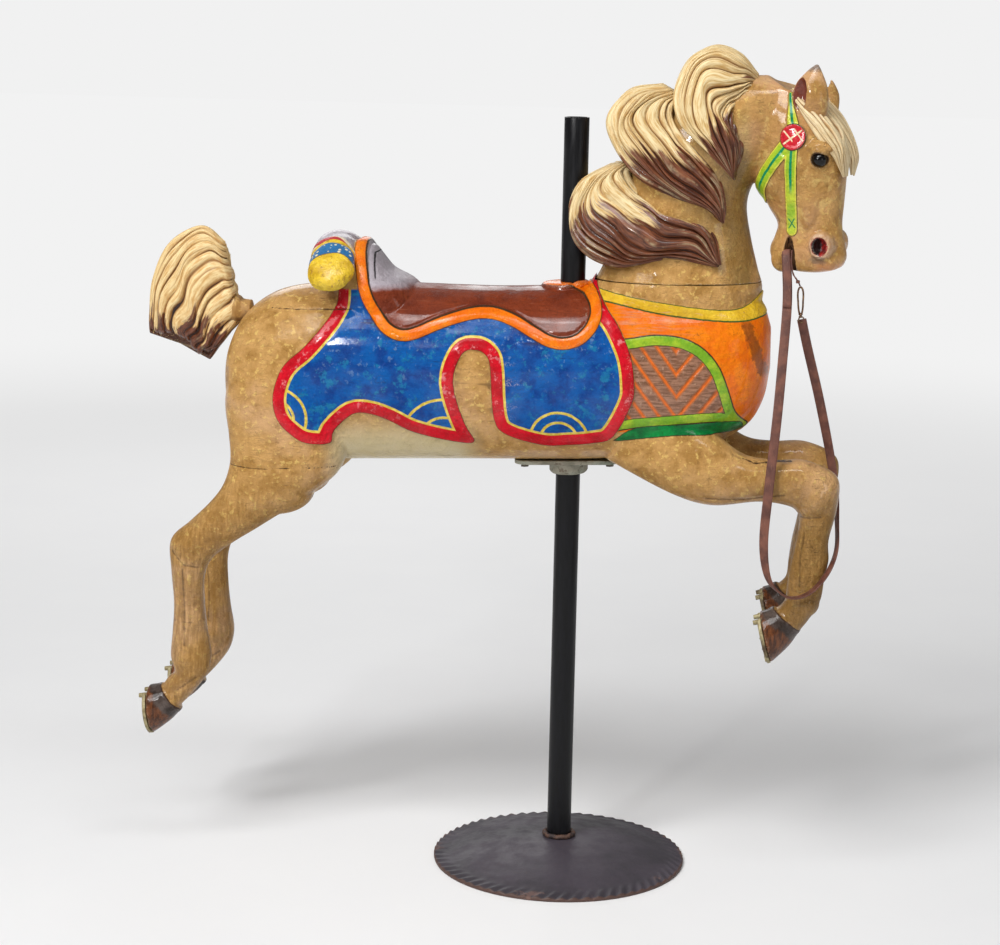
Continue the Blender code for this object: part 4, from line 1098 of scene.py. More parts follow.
for (middle_x, middle_z), radii in BLANKET_RINGS:
    far = (lengthways - middle_x) * (lengthways - middle_x) + (height - middle_z) * (height - middle_z)
    for radius in radii:
        arc = abs(far.math("SQRT", far) - radius + (age["fine"] - 0.5) * 0.2)
        colour = over(colour, rise(arc, 0.32, 0.2) * rise(blanket, -2.6, -2.8) * near_side, gold)

seat = blend(age["mottle"], 0.3, 0.7, (98, 36, 14), (128, 54, 26))
scratches = noise(stretched(where, (2.0, 60.0, 160.0)), 5.0, 3.0)
seat = over(seat, rise(scratches, 0.68, 0.72) * 0.35, paint(190, 130, 100))
lilac = mix(age["mottle"], paint(150, 140, 148), paint(186, 178, 184))
# Along the top of the seat a grey-lilac strip: dust and wear, and a painted highlight on the top.
dust_and_sheen = rise(height + (age["mottle"] - 0.5) * 2.0, 34.2, 35.4)
seat = over(seat, dust_and_sheen * 0.8, lilac)
seat = over(seat, rise(height, 35.2, 35.8) * rise(lengthways, -30.0, -32.0), lilac)
arch = abs(either(saddle + 3.5, height - 41.2))
seat = over(seat, rise(arch, 0.16, 0.08) * rise(height, 36.4, 37.0), paint(30, 26, 28))
colour = layered(
    colour,
    (rise(saddle, 0.08, -0.04), outline_dark),
    (rise(saddle, -0.06, -0.2), orange),
    (rise(saddle, -2.05, -2.2), outline_dark),
    (rise(saddle, -2.35, -2.5), seat),
)
pole_ring = field(where, "pole_ring")
colour = over(colour, rise(pole_ring, 0.3, 0.0), orange)

horn = blend(age["upright"], 0.36, 0.62, (66, 36, 20), (112, 64, 32))
grey_horn = blend(age["mottle"], 0.4, 0.6, (46, 34, 28), (88, 76, 70))
colour = layered(
    colour,
    (rise(hoof, 0.08, -0.04), paint(58, 34, 20)),
    (rise(hoof, -0.1, -0.3), grey_horn),
    (rise(hoof + (age["mottle"] - 0.5) * 2.0, -2.0, -2.8), horn),
)
crack = field(where, "crack")
colour = over(colour, rise(crack + (age["fine"] - 0.5) * 0.2, 0.14, 0.05), paint(64, 44, 28))
colour = dusted(colour, age, hollow - rise(abs(blanket), 2.6, 0.2) * rise(hollow, 0.0, 0.22) * 0.22)
varnished(painted_wood, colour, age, 0.4, (0.1, 0.6), (0.42, 0.62))
on_the_horse("carved_body", body_mesh, painted_wood, ["horse"])

# Head and neck
# A second block, glued on at the joint above the breast collar, with the ears, the bridle and the bones
# of the face carved in it. The head is turned towards the public, and the mouth is open for the rein.
HEAD_GRID = 0.0024
HEAD_TRIANGLES = 160000
HEAD_PIVOT = 40.7
HEAD_TURN = math.radians(22)
HEAD = [
    ((8.5, 70.0), (-2.5, 73.2), 4.4),
    ((12.0, 64.6), (-4.5, 68.0), 6.4),
    ((14.2, 58.6), (-4.4, 60.0), 7.2),
    ((14.0, 53.6), (-2.6, 53.2), 6.4),
    ((13.7, 49.6), (-0.9, 49.2), 5.4),
    ((13.4, 46.0), (0.9, 46.0), 4.6),
    ((13.7, 43.4), (0.4, 43.6), 4.4),
    ((14.2, 41.0), (-0.6, 41.4), 4.6),
    ((14.3, 39.0), (-0.4, 39.3), 4.4),
    ((12.6, 37.2), (1.6, 37.4), 3.4),
    ((9.4, 36.5), (4.8, 36.7), 1.6),
]
CHEEK = ((2.6, 0.0, 55.0), (6.2, 6.9, 6.0))
BROW = ((11.2, 0.0, 60.6), (3.2, 7.2, 2.6))
EYE_PLACE = (11.4, 5.7, 58.3)
EYE_RADIUS = 0.0145
NOSTRIL = ((11.1, 4.9, 41.9), (1.55, 2.5, 1.9))
MOUTH = ((4.6, 4.9, 38.6), (1.25, 3.4, 5.2))
NEAR_EAR = [
    ((10.6, 62.6), (6.4, 65.0), 1.2, 2.9),
    ((11.8, 65.8), (5.6, 67.8), 2.1, 3.6),
    ((12.4, 68.6), (5.4, 70.4), 2.5, 4.0),
    ((12.2, 71.6), (6.4, 72.8), 2.1, 4.0),
    ((11.2, 74.2), (8.4, 74.8), 1.1, 3.8),
    ((10.4, 75.9), (9.9, 75.9), 0.3, 3.7),
]
FAR_EAR = [
    ((10.8, 64.6), (5.4, 67.2), 2.1, 3.6),
    ((11.2, 67.4), (5.6, 69.2), 2.1, 4.4),
    ((10.9, 69.6), (6.6, 70.8), 1.7, 5.4),
    ((9.9, 71.4), (7.6, 71.9), 1.0, 6.2),
    ((9.0, 72.6), (8.3, 72.7), 0.4, 6.6),
]
EAR_HOLLOW = ((7.4, 6.0, 70.6), (1.6, 1.9, 3.0))
CHEEK_STRAP = [(6.5, 61.0), (5.9, 53.0), (5.3, 44.9)]
THROAT_STRAP = [(6.0, 61.8), (3.0, 58.2), (0.9, 55.8), (-0.8, 53.2), (-1.6, 51.0)]
CROWN_STRAP = [(5.2, 70.4), (6.6, 64.0)]
ROSETTE = (6.6, 62.5, 2.5)
STRAP_HALF = 1.2
THROAT_HALF = 1.5
HEAD_BONES = [
    ((11.2, 5.0, 60.4), (2.9, 2.1, 1.4)),
    ((8.6, 4.4, 51.0), (2.2, 1.5, 5.6)),
    ((11.0, 3.4, 42.0), (2.3, 2.3, 2.8)),
    ((11.6, 1.6, 38.9), (2.0, 2.7, 1.9)),
    ((2.0, 0.8, 39.0), (2.2, 3.0, 2.6)),
    ((4.0, 4.6, 57.6), (3.6, 3.0, 4.4)),
]
head_frame = horse_frame @ Matrix.Translation((HEAD_PIVOT, 0, 0)) @ Matrix.Rotation(-HEAD_TURN, 4, "Z")


def hollowed(points, normals, matrix, centre, radii, side=1):
    """Scoops an ellipsoid out of the skin: a point inside it goes inwards to the ellipsoid's far side."""
    local = placed(matrix.inverted(), points)
    inward = -(normals @ np.array(matrix.inverted())[:3, :3].T)
    inward /= np.linalg.norm(inward, axis=1)[:, None]
    share = (local - np.array([centre[0], side * centre[1], centre[2]])) / radii
    inside = (share**2).sum(1) < 1
    way = inward[inside] / radii
    spot = share[inside]
    a = (way**2).sum(1)
    b = (way * spot).sum(1)
    c = (spot**2).sum(1) - 1
    local[inside] += inward[inside] * ((-b + np.sqrt(b * b - a * c)) / a)[:, None]
    points[inside] = placed(matrix, local[inside])
    return points


def head_fields(world):
    spots = placed(head_frame.inverted(), world)
    horse_spots = placed(horse_frame.inverted(), world)
    x, y, z = spots.T
    flat = spots[:, [0, 2]]
    on_head = ease(horse_spots[:, 0], 35.6, 37.2)
    away = FAR_AWAY * (1 - on_head) + FAR_AWAY * (z < 43.0)
    made = {}
    middles = [line_distance(flat, line) for line in (CHEEK_STRAP, THROAT_STRAP, CROWN_STRAP)]
    halves = [STRAP_HALF, THROAT_HALF, 0.45 + 0.7 * ease(z, 70.0, 64.0)]
    made["strap"] = np.min([middle - half for middle, half in zip(middles, halves)], 0) + away
    made["strap_middle"] = np.min(middles, 0) + away
    made["rosette"] = np.hypot(x - ROSETTE[0], z - ROSETTE[1]) - ROSETTE[2] + away
    made["eye"] = np.hypot(x - EYE_PLACE[0], z - EYE_PLACE[2]) + FAR_AWAY * (np.abs(y) < 3.0)
    made["nostril"] = np.hypot(x - NOSTRIL[0][0], (z - NOSTRIL[0][2]) / 1.1) + FAR_AWAY * (np.abs(y) < 1.5)
    made["mouth"] = np.hypot((x - MOUTH[0][0]) / MOUTH[1][0], (z - MOUTH[0][2]) / MOUTH[1][2])
    made["ear"] = z - 66.5 - 0.3 * np.abs(x - 8.0)
    made["ear_inside"] = np.linalg.norm(
        (np.stack([x, np.abs(y), z], 1) - EAR_HOLLOW[0]) / (np.array(EAR_HOLLOW[1]) * 1.08), axis=1
    )
    made["face"] = on_head
    made.update({"head_x": x, "head_y": y, "head_z": z})
    made.update({"neck_height": horse_spots[:, 2], "neck_length": horse_spots[:, 0]})
    return made


def head_relief(made):
    strap = 0.28 * ease(-made["strap"], -0.06, 0.14)
    disc = 0.42 * ease(-made["rosette"], -0.05, 0.15) + 0.12 * hump(made["rosette"], -0.7, 0.0)
    height = np.maximum(strap, disc)
    ring = made["eye"]
    height += 0.22 * hump(ring, 1.15, 2.0) * ease(np.abs(made["head_y"]), 3.0, 4.5)
    height -= 0.12 * furrow(ring - 2.3, 0.25)
    height += 0.24 * hump(made["nostril"], 1.1, 2.4)
    return height


body = bmesh.new()
add_loft(body, TRUNK, horse_frame, sides=56, power=2.35)
add_loft(body, NECK, horse_frame, sides=48, power=2.1)
add_loft(body, HEAD, head_frame, sides=48, power=2.3)
add_ball(body, *CHEEK, head_frame)
add_ball(body, *BROW, head_frame)
for flank in (-1, 1):
    for place, radii in HEAD_BONES:
        add_ball(body, place, radii, head_frame, flank)
add_loft(body, NEAR_EAR, head_frame, sides=24, side=-1, power=2.0)
add_loft(body, FAR_EAR, head_frame, sides=24, side=1, power=2.0)
head_mesh = melted("carved_head", body, HEAD_GRID, 6)
keep_side(head_mesh, NECK_JOINT[0] + 0.05, NECK_JOINT[1], False)
head_points = mesh_points(head_mesh)
head_normals = mesh_points(head_mesh, "normal")
for flank in (-1, 1):
    for scoop in (NOSTRIL, MOUTH, EAR_HOLLOW):
        hollowed(head_points, head_normals, head_frame, *scoop, flank)
    hollowed(head_points, head_normals, head_frame, EYE_PLACE, np.full(3, EYE_RADIUS / STEP * 0.93), flank)
move_points(head_mesh, head_points)
head_mesh = remeshed(head_mesh, "carved_head", HEAD_GRID, 1)
raise_relief(head_mesh, head_relief(head_fields(mesh_points(head_mesh))))
head_mesh = remeshed(head_mesh, "carved_head", None, 0, HEAD_TRIANGLES)
head_values = head_fields(mesh_points(head_mesh))
head_values["hollow"] = hollows(head_mesh, 14)
write_fields(head_mesh, head_values)

painted_head, where = new_finish("painted_head")
age = aged(where)
shake = (age["fine"] - 0.5) * 0.2
colour = hide_paint(where, age)
neck_height = field(where, "neck_height")
face = field(where, "face")
neck_length = field(where, "neck_length")
head_depth = 0.0 - abs(field(where, "head_y"))
colour = over(colour, rise(age["broad"], 0.4, 0.6) * 0.45 * (1 - face), paint(160, 134, 80))
# Painted shade: olive-brown down the front of the lower neck.
shaded = rise(neck_length, 29.0, 34.5) * rise(neck_height, 64.0, 56.0) * (1 - face)
colour = layered(
    colour,
    (shaded * 0.6, paint(104, 80, 38)),
    (face * rise(age["broad"], 0.42, 0.62) * 0.4, paint(188, 132, 84)),
    (face * rise(head_depth, -3.0, -6.5) * 0.35, paint(150, 112, 62)),
    (face * rise(noise(where, 34.0, 4.0, 0.6), 0.54, 0.64) * 0.5, paint(206, 176, 108)),
    (rise(neck_height, 70.0, 73.0) * rise(age["mottle"], 0.35, 0.6) * 0.6, paint(204, 160, 124)),
)
strap = field(where, "strap") + shake * 0.5
middle = field(where, "strap_middle") + shake
head_z = field(where, "head_z")
head_x = field(where, "head_x")
bright = blend(age["mottle"], 0.4, 0.62, (142, 178, 38), (186, 200, 52))
colour = layered(
    colour,
    (rise(strap, 0.06, -0.04), outline_dark),
    (rise(strap, -0.05, -0.15), paint(206, 196, 70)),
    (rise(strap, -0.3, -0.42), bright),
    (rise(middle, 0.32, 0.2) * rise(head_z, 51.0, 54.0), paint(10, 128, 84)),
)
cross_a = abs((head_x - 5.45) - (head_z - 46.2) * 0.7)
cross_b = abs((head_x - 5.45) + (head_z - 46.2) * 0.7)
cross = rise(cross_a.math("MINIMUM", cross_a, cross_b), 0.2, 0.1) * rise(abs(head_z - 46.2), 0.95, 0.85)
colour = over(colour, cross * rise(strap, -0.1, -0.2), paint(0, 120, 60))
rosette = field(where, "rosette") + shake * 0.5
colour = over(colour, rise(rosette, 0.08, -0.02), outline_dark)
colour = over(colour, rise(rosette, -0.1, -0.2), mix(age["mottle"], paint(176, 18, 32), paint(208, 30, 46)))
fork_a = abs((head_z - 62.5) - (head_x - 6.6) * 0.75)
fork_b = abs((head_z - 62.9) + (head_x - 5.6) * 1.1) + rise(head_x, 6.6, 6.9) * 3.0
fork_c = abs((head_z - 62.9) + (head_x - 7.7) * 1.3) + rise(head_x, 6.9, 6.6) * 3.0
fork = fork_a.math("MINIMUM", fork_a, fork_b.math("MINIMUM", fork_b, fork_c))
colour = over(colour, rise(fork, 0.26, 0.16) * rise(rosette, -0.35, -0.45), paint(226, 204, 168))
eye = field(where, "eye")
colour = over(colour, rise(eye, 1.62, 1.3) * face, paint(70, 48, 34))
nostril = field(where, "nostril")
nostril = nostril + (age["fine"] - 0.5) * 0.6
rim = blend(age["fine"], 0.4, 0.6, (206, 172, 142), (184, 140, 112))
colour = over(colour, rise(nostril, 2.7, 2.0) * 0.75, rim)
smudge = (head_x - 10.6) * (head_x - 10.6) * 0.25 + (head_z - 39.3) * (head_z - 39.3)
colour = layered(
    colour,
    (rise(smudge + (age["fine"] - 0.5) * 1.6, 1.1, 0.3) * 0.6, paint(92, 84, 78)),
    (rise(nostril, 1.75, 1.55), blend(age["fine"], 0.4, 0.6, (158, 34, 30), (96, 20, 20))),
    (rise(nostril, 1.7, 1.4) * rise(head_x, 11.3, 10.7), paint(24, 14, 14)),
)
lips = rise(head_z, 39.5, 37.6) * rise(head_x, 8.0, 11.0)
colour = over(colour, lips * 0.6, paint(214, 150, 108))
mouth = field(where, "mouth")
splinter = noise(stretched(where, (300.0, 300.0, 20.0)), 1.0, 4.0)
torn = blend(splinter, 0.4, 0.6, (52, 32, 24), (128, 92, 60))
colour = over(colour, rise(mouth, 1.02, 0.94) * rise(head_z, 36.0, 36.2), torn)
ear_inside = field(where, "ear_inside")
colour = over(colour, rise(ear_inside, 1.03, 0.97), mix(age["mottle"], paint(126, 62, 46), paint(96, 46, 34)))
colour = over(colour, rise(head_z, 74.2, 75.2) * face * 0.8, paint(120, 112, 110))
colour = dusted(colour, age, field(where, "hollow"))
varnished(painted_head, colour, age, 0.38, (0.15, 0.65), (0.4, 0.6))
on_the_horse("carved_head", head_mesh, painted_head, ["horse"])

# Mane, forelock
# Three deep locks roll off the crest and sweep down the near side of the neck to a point. Each is
# gouged into strands, cream where it turns over and brown to its tip. Two short ones cross the brow.
FORELOCK = (
    [(4.5, 71.4), (8.4, 69.0), (12.0, 66.2), (14.6, 62.8), (15.8, 59.4), (15.2, 55.0)],
    [(4.5, 69.6), (6.8, 67.4), (8.8, 64.6), (11.0, 61.4), (13.0, 58.6), (14.6, 54.8)],
    [1.4, 2.2, 2.6, 2.8, 2.4, 1.6],
    [2.6, 4.2, 4.4, 3.8, 2.8, 1.2],
)
FAR_FORELOCK = (
    [(4.5, 71.8), (8.6, 69.8), (12.2, 66.4), (14.8, 62.0), (16.0, 58.2), (15.4, 54.8)],
    [(6.0, 70.0), (8.0, 67.6), (10.4, 64.6), (12.8, 61.2), (14.2, 58.2), (14.9, 55.4)],
    [-0.6, -1.2, -1.6, -1.8, -1.8, -1.6],
    [2.4, 3.6, 3.6, 3.0, 2.2, 1.0],
)
UPPER_LOCK = (
    [
        (37.6, 74.2), (34.0, 78.2), (29.2, 79.9), (24.3, 77.6),
        (21.8, 71.6), (22.6, 66.4), (26.2, 62.0), (33.0, 54.8),
    ],
    [
        (37.6, 70.2), (36.4, 69.4), (34.9, 68.8), (33.4, 67.8),
        (33.2, 66.0), (34.2, 63.2), (34.9, 59.6), (33.6, 54.4),
    ],
    [0.4, 0.6, 0.8, 1.4, 2.6, 4.2, 5.8, 7.6],
    [2.6, 4.4, 5.4, 6.0, 6.0, 5.2, 3.8, 1.4],
)
MIDDLE_LOCK = (
    [
        (24.0, 70.0), (22.6, 68.4), (22.0, 65.6), (24.4, 62.0),
        (27.8, 58.6), (30.4, 54.4), (31.7, 49.8), (31.3, 46.6),
    ],
    [
        (19.0, 72.4), (13.0, 71.2), (9.2, 66.6), (10.2, 61.6),
        (14.4, 55.6), (21.0, 51.8), (27.0, 49.4), (30.6, 46.6),
    ],
    [0.0, 0.6, 1.0, 1.8, 3.2, 4.8, 6.4, 7.8],
    [4.8, 5.6, 6.2, 6.2, 5.6, 4.6, 3.2, 1.3],
)
LOWER_LOCK = (
    [(15.0, 58.6), (13.6, 56.4), (15.6, 53.0), (20.2, 50.2), (25.4, 47.8), (29.4, 44.6), (30.6, 38.8)],
    [(9.0, 57.2), (3.4, 54.0), (1.2, 48.6), (3.0, 42.4), (9.4, 38.4), (19.0, 39.6), (29.8, 38.2)],
    [0.0, 0.4, 1.0, 2.4, 4.2, 6.2, 8.2],
    [4.6, 5.6, 6.4, 6.4, 5.6, 3.8, 1.3],
)
STRAND_COLUMNS = 4
BROWN_BLEND = 16.0
PIPE_RADIUS = 0.02415
POLE_CLEAR = 0.001
BOX_CLEAR = 0.0005
# Each turn of sway round a lock: its turns, its waves along and its size.
SWAYS = [(1, 0.8, 1.0), (2, 1.3, 0.8), (3, 1.7, 0.55), (5, 2.3, 0.3), (8, 3.1, 0.2)]


def wander(random, steps, count):
    """Smooth random lines over the steps, one for each strand, between about -1 and 1."""
    total = np.zeros((len(steps), count))
    for wave in (1, 2, 3):
        phase = random.uniform(0, 2 * np.pi, count)
        total += np.sin(2 * np.pi * wave * steps[:, None] * random.uniform(0.5, 0.9, count) + phase) / wave
    return total / 1.6


def hair_lock(
    name, shape, matrix, nodes, slot, material, strands, rows, seed, deep,
    brown=None, forward=0.0, blunt=0.0, sway_size=0.026, ragged=1.0,
):
    """A lock of carved hair: a core drawn between two edges, gouged into strands that join and part."""
    random = np.random.default_rng(seed)
    upper, lower, places, halves = shape
    ahead = forward * np.sin(np.linspace(0, np.pi, len(places)))
    stations = [(*u, *l, half, -place) for u, l, half, place in zip(upper, lower, halves, places + ahead)]
    table = smooth_rows(stations, max(2, rows // (len(stations) - 1)))
    steps = np.linspace(0, 1, len(table))
    widths = random.uniform(0.55, 1.45, strands)
    borders = np.concatenate([[0], np.cumsum(widths)[:-1]]) / widths.sum()
    shares = np.arange(STRAND_COLUMNS) / STRAND_COLUMNS
    around = (borders[:, None] + (widths / widths.sum())[:, None] * shares).ravel()
    sway = np.zeros((len(steps), len(around)))
    for turns, waves, size in SWAYS:
        phase, other = random.uniform(0, 2 * np.pi, 2)
        swing = np.sin(2 * np.pi * (turns * around + waves * steps[:, None]) + phase)
        sway += size * swing * np.sin(2 * np.pi * waves * 0.6 * steps[:, None] + other)
    angle = 2 * np.pi * (around + sway_size * sway)
    gouge = random.choice([0.16, 0.36], strands, p=[0.5, 0.5]) * np.ones((len(steps), 1))
    main = np.cumsum(random.integers(2, 5, strands))
    main = np.concatenate([[0], main[main < strands - 1]])
    gouge[:, main] = 0.85
    gouge = gouge * (0.62 + 0.42 * wander(random, steps, strands))
    after = np.roll(gouge, -1, 1)
    cut = gouge[:, :, None] * (1 - shares) ** 3 + after[:, :, None] * shares**3
    cut = np.clip(cut.reshape(len(steps), -1), 0, 1.2)
    begins = np.append(borders[main], 1.0)
    bundle = np.searchsorted(begins, around, side="right") - 1
    share = (around - begins[bundle]) / (begins[bundle + 1] - begins[bundle])
    proud = 0.75 + 0.4 * wander(random, steps, len(main))
    swell = (1 - np.abs(2 * share - 1) ** 2.4) * proud[:, bundle]
    reach = np.hypot(table[:, 0] - table[:, 2], table[:, 1] - table[:, 3]) / 2
    depth = deep * np.clip(np.minimum(reach, table[:, 4] * 1.5) / 6.0, 0.12, 1.1)
    ends = np.ones(len(steps))
    if blunt:
        ends = np.clip(np.minimum(steps, 1 - steps) / blunt, 0, 1)
        ends = 0.2 + 0.8 * np.sqrt(1 - (1 - ends) ** 2)
    middle = np.stack([(table[:, 0] + table[:, 2]) / 2, table[:, 5], (table[:, 1] + table[:, 3]) / 2], 1)
    edge = np.stack([(table[:, 0] - table[:, 2]) / 2, 0 * steps, (table[:, 1] - table[:, 3]) / 2], 1)
    shrink = 1 - 0.55 * depth / np.maximum(reach, 0.6)
    wide = signed_power(np.cos(angle), 0.85)
    thick = signed_power(np.sin(angle), 0.7)
    points = middle[:, None] + (wide * shrink[:, None])[:, :, None] * edge[:, None]
    points[:, :, 1] += thick * (table[:, 4] * shrink * ends)[:, None]
    flow = np.gradient(middle, axis=0)
    flow /= np.linalg.norm(flow, axis=1)[:, None]
    uneven = np.interp(around, np.linspace(0, 1, 15), random.uniform(-1.0, 0.5, 15))
    points += flow[:, None] * (ragged * ease(steps, 0.7, 1.0)[:, None] * uneven)[:, :, None]
    down = np.gradient(points, axis=0)
    normal = np.cross(down, np.roll(points, -1, 1) - np.roll(points, 1, 1))
    normal /= np.maximum(np.linalg.norm(normal, axis=2), 1e-9)[:, :, None]
    outward = math.copysign(1, ((points - middle[:, None]) * normal).sum())
    lift = depth[:, None] * (1.15 * swell - 0.7 * cut - 0.35)
    points += normal * (outward * lift)[:, :, None]
    tip = np.zeros(points.shape[:2])
    if brown:
        tip = 0.5 + (brown[1] + brown[2] * (points[:, :, 0] - brown[0]) - points[:, :, 2]) / BROWN_BLEND
    columns = points.shape[1]
    grid = placed(matrix, points.reshape(-1, 3))
    offset = grid[:, :2] - np.array(POLE_AXIS)[:2]
    clear = PIPE_RADIUS + POLE_CLEAR
    near = np.hypot(*offset.T) < clear
    grid[near, 1] = POLE_AXIS.y - np.sqrt(clear**2 - offset[near, 0] ** 2)
    grid = np.clip(grid, np.array(cad_box[0]) + BOX_CLEAR, np.array(cad_box[1]) - BOX_CLEAR)
    ends_at = placed(matrix, middle[[0, -1]])
    fields = {
        "tip": np.append(tip.ravel(), tip[[0, -1], 0]),
        "cut": np.append(cut.ravel(), [0, 0]),
        "around": np.append(np.tile(around, len(steps)), [0, 0]),
        "along": np.append(np.repeat(steps, columns), [0, 1]),
    }
    faces = tube_faces(len(steps), columns)
    return piece(name, np.vstack([grid, ends_at]), faces, material, nodes, fields=fields)


def hair_finish(name, cream, ochre, brown, dark, turn):
    """Painted hair: cream to brown along its length, dark in the gouges, worn pale on the ridges."""
    made, where = new_finish(name)
    age = aged(where)
    along = field(where, "along")
    place = where.node("ShaderNodeCombineXYZ", None, {"X": field(where, "around") * 150.0, "Y": along * 9.0})
    hairs = noise(place, 1.0, 4.0, 0.6)
    wisps = noise(stretched(place, (0.16, 0.2, 1.0)), 1.0, 2.0, 0.5)
    cut = field(where, "cut") + (hairs - 0.5) * 0.22
    tip = field(where, "tip") + (hairs - 0.5) * 0.5 + (wisps - 0.5) * 1.3 + cut * 0.3 - 0.09
    light = mix(rise(hairs, 0.34, 0.6), ochre, cream)
    light = layered(
        light,
        (rise(age["mottle"], 0.54, 0.68) * 0.5, ochre),
        (rise(cut, 0.12, 0.4) * 0.85, paint(152, 104, 54)),
        (rise(cut, 0.38, 0.72) * 0.9, paint(76, 42, 22)),
    )
    deep = mix(rise(hairs, 0.36, 0.66), dark, brown)
    deep = over(deep, rise(cut, 0.08, -0.04) * rise(age["mottle"], 0.46, 0.58) * 0.6, cream)
    deep = over(deep, rise(cut, 0.2, 0.6) * 0.85, paint(40, 22, 16))
    browned = rise(tip, turn - 0.06, turn + 0.06)
    coated(
        made,
        {
            "Base Color": mix(browned, light, deep),
            "Roughness": 0.5 - 0.1 * browned,
            "Coat Weight": 0.1 + 0.5 * browned,
            "Coat Roughness": 0.12,
            "Specular IOR Level": 0.15,
        },
        hairs * 1.2 + age["fine"] * 0.4 + age["grit"] * 0.2,
        0.0018,
        0.6,
    )
    return made


mane_paint = hair_finish(
    "mane_paint", paint(226, 206, 160), paint(194, 156, 96), paint(126, 74, 48), paint(66, 34, 22), 0.5
)
in_horse = (["horse"], "carved_horse")
for label, shape, seed, brown, forward in (
    ("mane_upper", UPPER_LOCK, 11, (30.0, 66.0, 0.9), 1.6),
    ("mane_middle", MIDDLE_LOCK, 12, (20.0, 61.0, 0.1), 1.5),
    ("mane_lower", LOWER_LOCK, 13, (15.0, 50.2, 0.06), 1.0),
):
    hair_lock(label, shape, horse_frame, *in_horse, mane_paint, 68, 144, seed, 0.95, brown, forward)
fore_paint = hair_finish(
    "forelock_paint",
    paint(228, 210, 172), paint(202, 172, 122), paint(196, 164, 120), paint(140, 104, 66),
    1.3,
)
for label, shape, seed in (("forelock_near", FORELOCK, 21), ("forelock_far", FAR_FORELOCK, 22)):
    hair_lock(label, shape, head_frame, *in_horse, fore_paint, 34, 110, seed, 1.5, ragged=0.3)

# Tail
# Carved apart from the horse on a round peg and glued into a hole in the rump. It stands up from the
# root and falls back in one deep curl.
TAIL = (
    [(-67.6, 43.6), (-72.0, 46.8), (-78.2, 43.6), (-82.2, 36.4), (-83.4, 29.4), (-83.8, 25.6)],
    [(-65.0, 30.2), (-65.0, 27.4), (-66.8, 25.0), (-68.4, 23.4), (-69.8, 21.8), (-71.2, 20.4)],
    [0.0, 0.0, 0.0, 0.0, 0.0, 0.0],
    [2.6, 3.4, 3.9, 3.8, 3.2, 2.2],
)
TAIL_ROOT = [(-69.5, 0, 29.8), (-67.0, 0, 29.8), (-65.6, 0, 29.9), (-64.4, 0, 29.8), (-62.6, 0, 29.8)]
TAIL_ROOT_RADII = [1.6, 2.6, 2.9, 2.2, 1.9]

tail_paint = hair_finish(
    "tail_paint", paint(230, 206, 154), paint(202, 158, 98), paint(120, 68, 44), paint(68, 38, 24), 0.5
)
brown_from = (-76.0, 29.0, -0.12)
hair_lock(
    "tail", TAIL, horse_frame, ["tail"], "carved_tail", tail_paint, 60, 130, 31, 0.8,
    brown_from, blunt=0.09, sway_size=0.012, ragged=1.8,
)
bare_wood, where = new_finish("bare_wood")
age = aged(where)
coated(
    bare_wood,
    {
        "Base Color": over(hide_paint(where, age), rise(age["mottle"], 0.45, 0.6) * 0.7, paint(96, 70, 44)),
        "Roughness": 0.6,
    },
    age["fine"] + age["mottle"] * 1.5,
    0.004,
    0.8,
)
root_rows = smooth_rows([(*place, radius) for place, radius in zip(TAIL_ROOT, TAIL_ROOT_RADII)], 8)
wire_piece(
    "tail_root", root_rows[:, :3], root_rows[:, 3], horse_frame, bare_wood, ["tail"], sides=48
)

# Blanket roll
# A blanket rolled tight and strapped over the loins behind the cantle, carved with the saddle. Its
# round ends are yellow and the top is striped.
BEDROLL_PATH = [(-43.9, 13.6, 38.0), (-44.1, 10.2, 39.4), (-44.6, 5.4, 40.4), (-44.8, 0.0, 40.7)]
BEDROLL_RADII = [4.7, 4.6, 4.6, 4.7]

half_roll = [(*p, r) for p, r in zip(BEDROLL_PATH, BEDROLL_RADII)]
whole_roll = half_roll + [(x, -y, z, r) for x, y, z, r in half_roll[-2::-1]]
roll_rows = smooth_rows(whole_roll, 22)
roll_sides = 96
roll_turns = np.linspace(0, 2 * np.pi, roll_sides, endpoint=False)
roll_rings = []
for x, y, z, radius in roll_rows:
    lean = math.radians(-32) * y / BEDROLL_PATH[0][1]
    across = np.array([0, math.sin(lean), math.cos(lean)])
    end_round = 1 - 0.10 * ease(np.abs(y), 12.4, 13.6)
    flat = 1 - 0.16 * ease(np.abs(y), 6.0, 12.0)
    ring = np.outer(np.cos(roll_turns), np.array([1.0, 0, 0])) + np.outer(np.sin(roll_turns) * flat, across)
    strapped = 1 - 0.035 * np.exp(-(((abs(y) - 8.3) / 0.9) ** 2)) + 0.02 * np.cos(5 * roll_turns + y)[:, None]
    roll_rings.append(np.array([x, y, z]) + radius * 0.98 * end_round * strapped * ring)
roll_points = np.vstack([*roll_rings, roll_rows[0, :3] + [0, 0.5, 0.1], roll_rows[-1, :3] - [0, 0.5, -0.1]])
roll_fields = {
    "roll_across": np.append(np.repeat(roll_rows[:, 1], roll_sides), [15, -15]),
    "roll_turn": np.append(np.tile(roll_turns, len(roll_rows)), [0, 0]),
}
roll_paint, where = new_finish("roll_paint")
age = aged(where)
across = field(where, "roll_across")
stripe = abs(across) + (age["fine"] - 0.5) * 0.2
ochre = blend(age["mottle"], 0.4, 0.6, (196, 156, 18), (226, 190, 40))
ochre = over(ochre, rise(age["fine"], 0.56, 0.66) * 0.7, paint(150, 104, 28))
dashes = where.node("ShaderNodeTexVoronoi", None, {"Vector": where, "Scale": 95.0, "Randomness": 0.7})
blue = mix(age["mottle"], paint(14, 84, 140), paint(40, 120, 170))
blue = over(blue, rise(dashes, 0.32, 0.24), paint(222, 214, 180))
slanted = field(where, "roll_turn") * 2.2 + stripe * 1.4
diagonal = slanted.math("SINE", slanted)
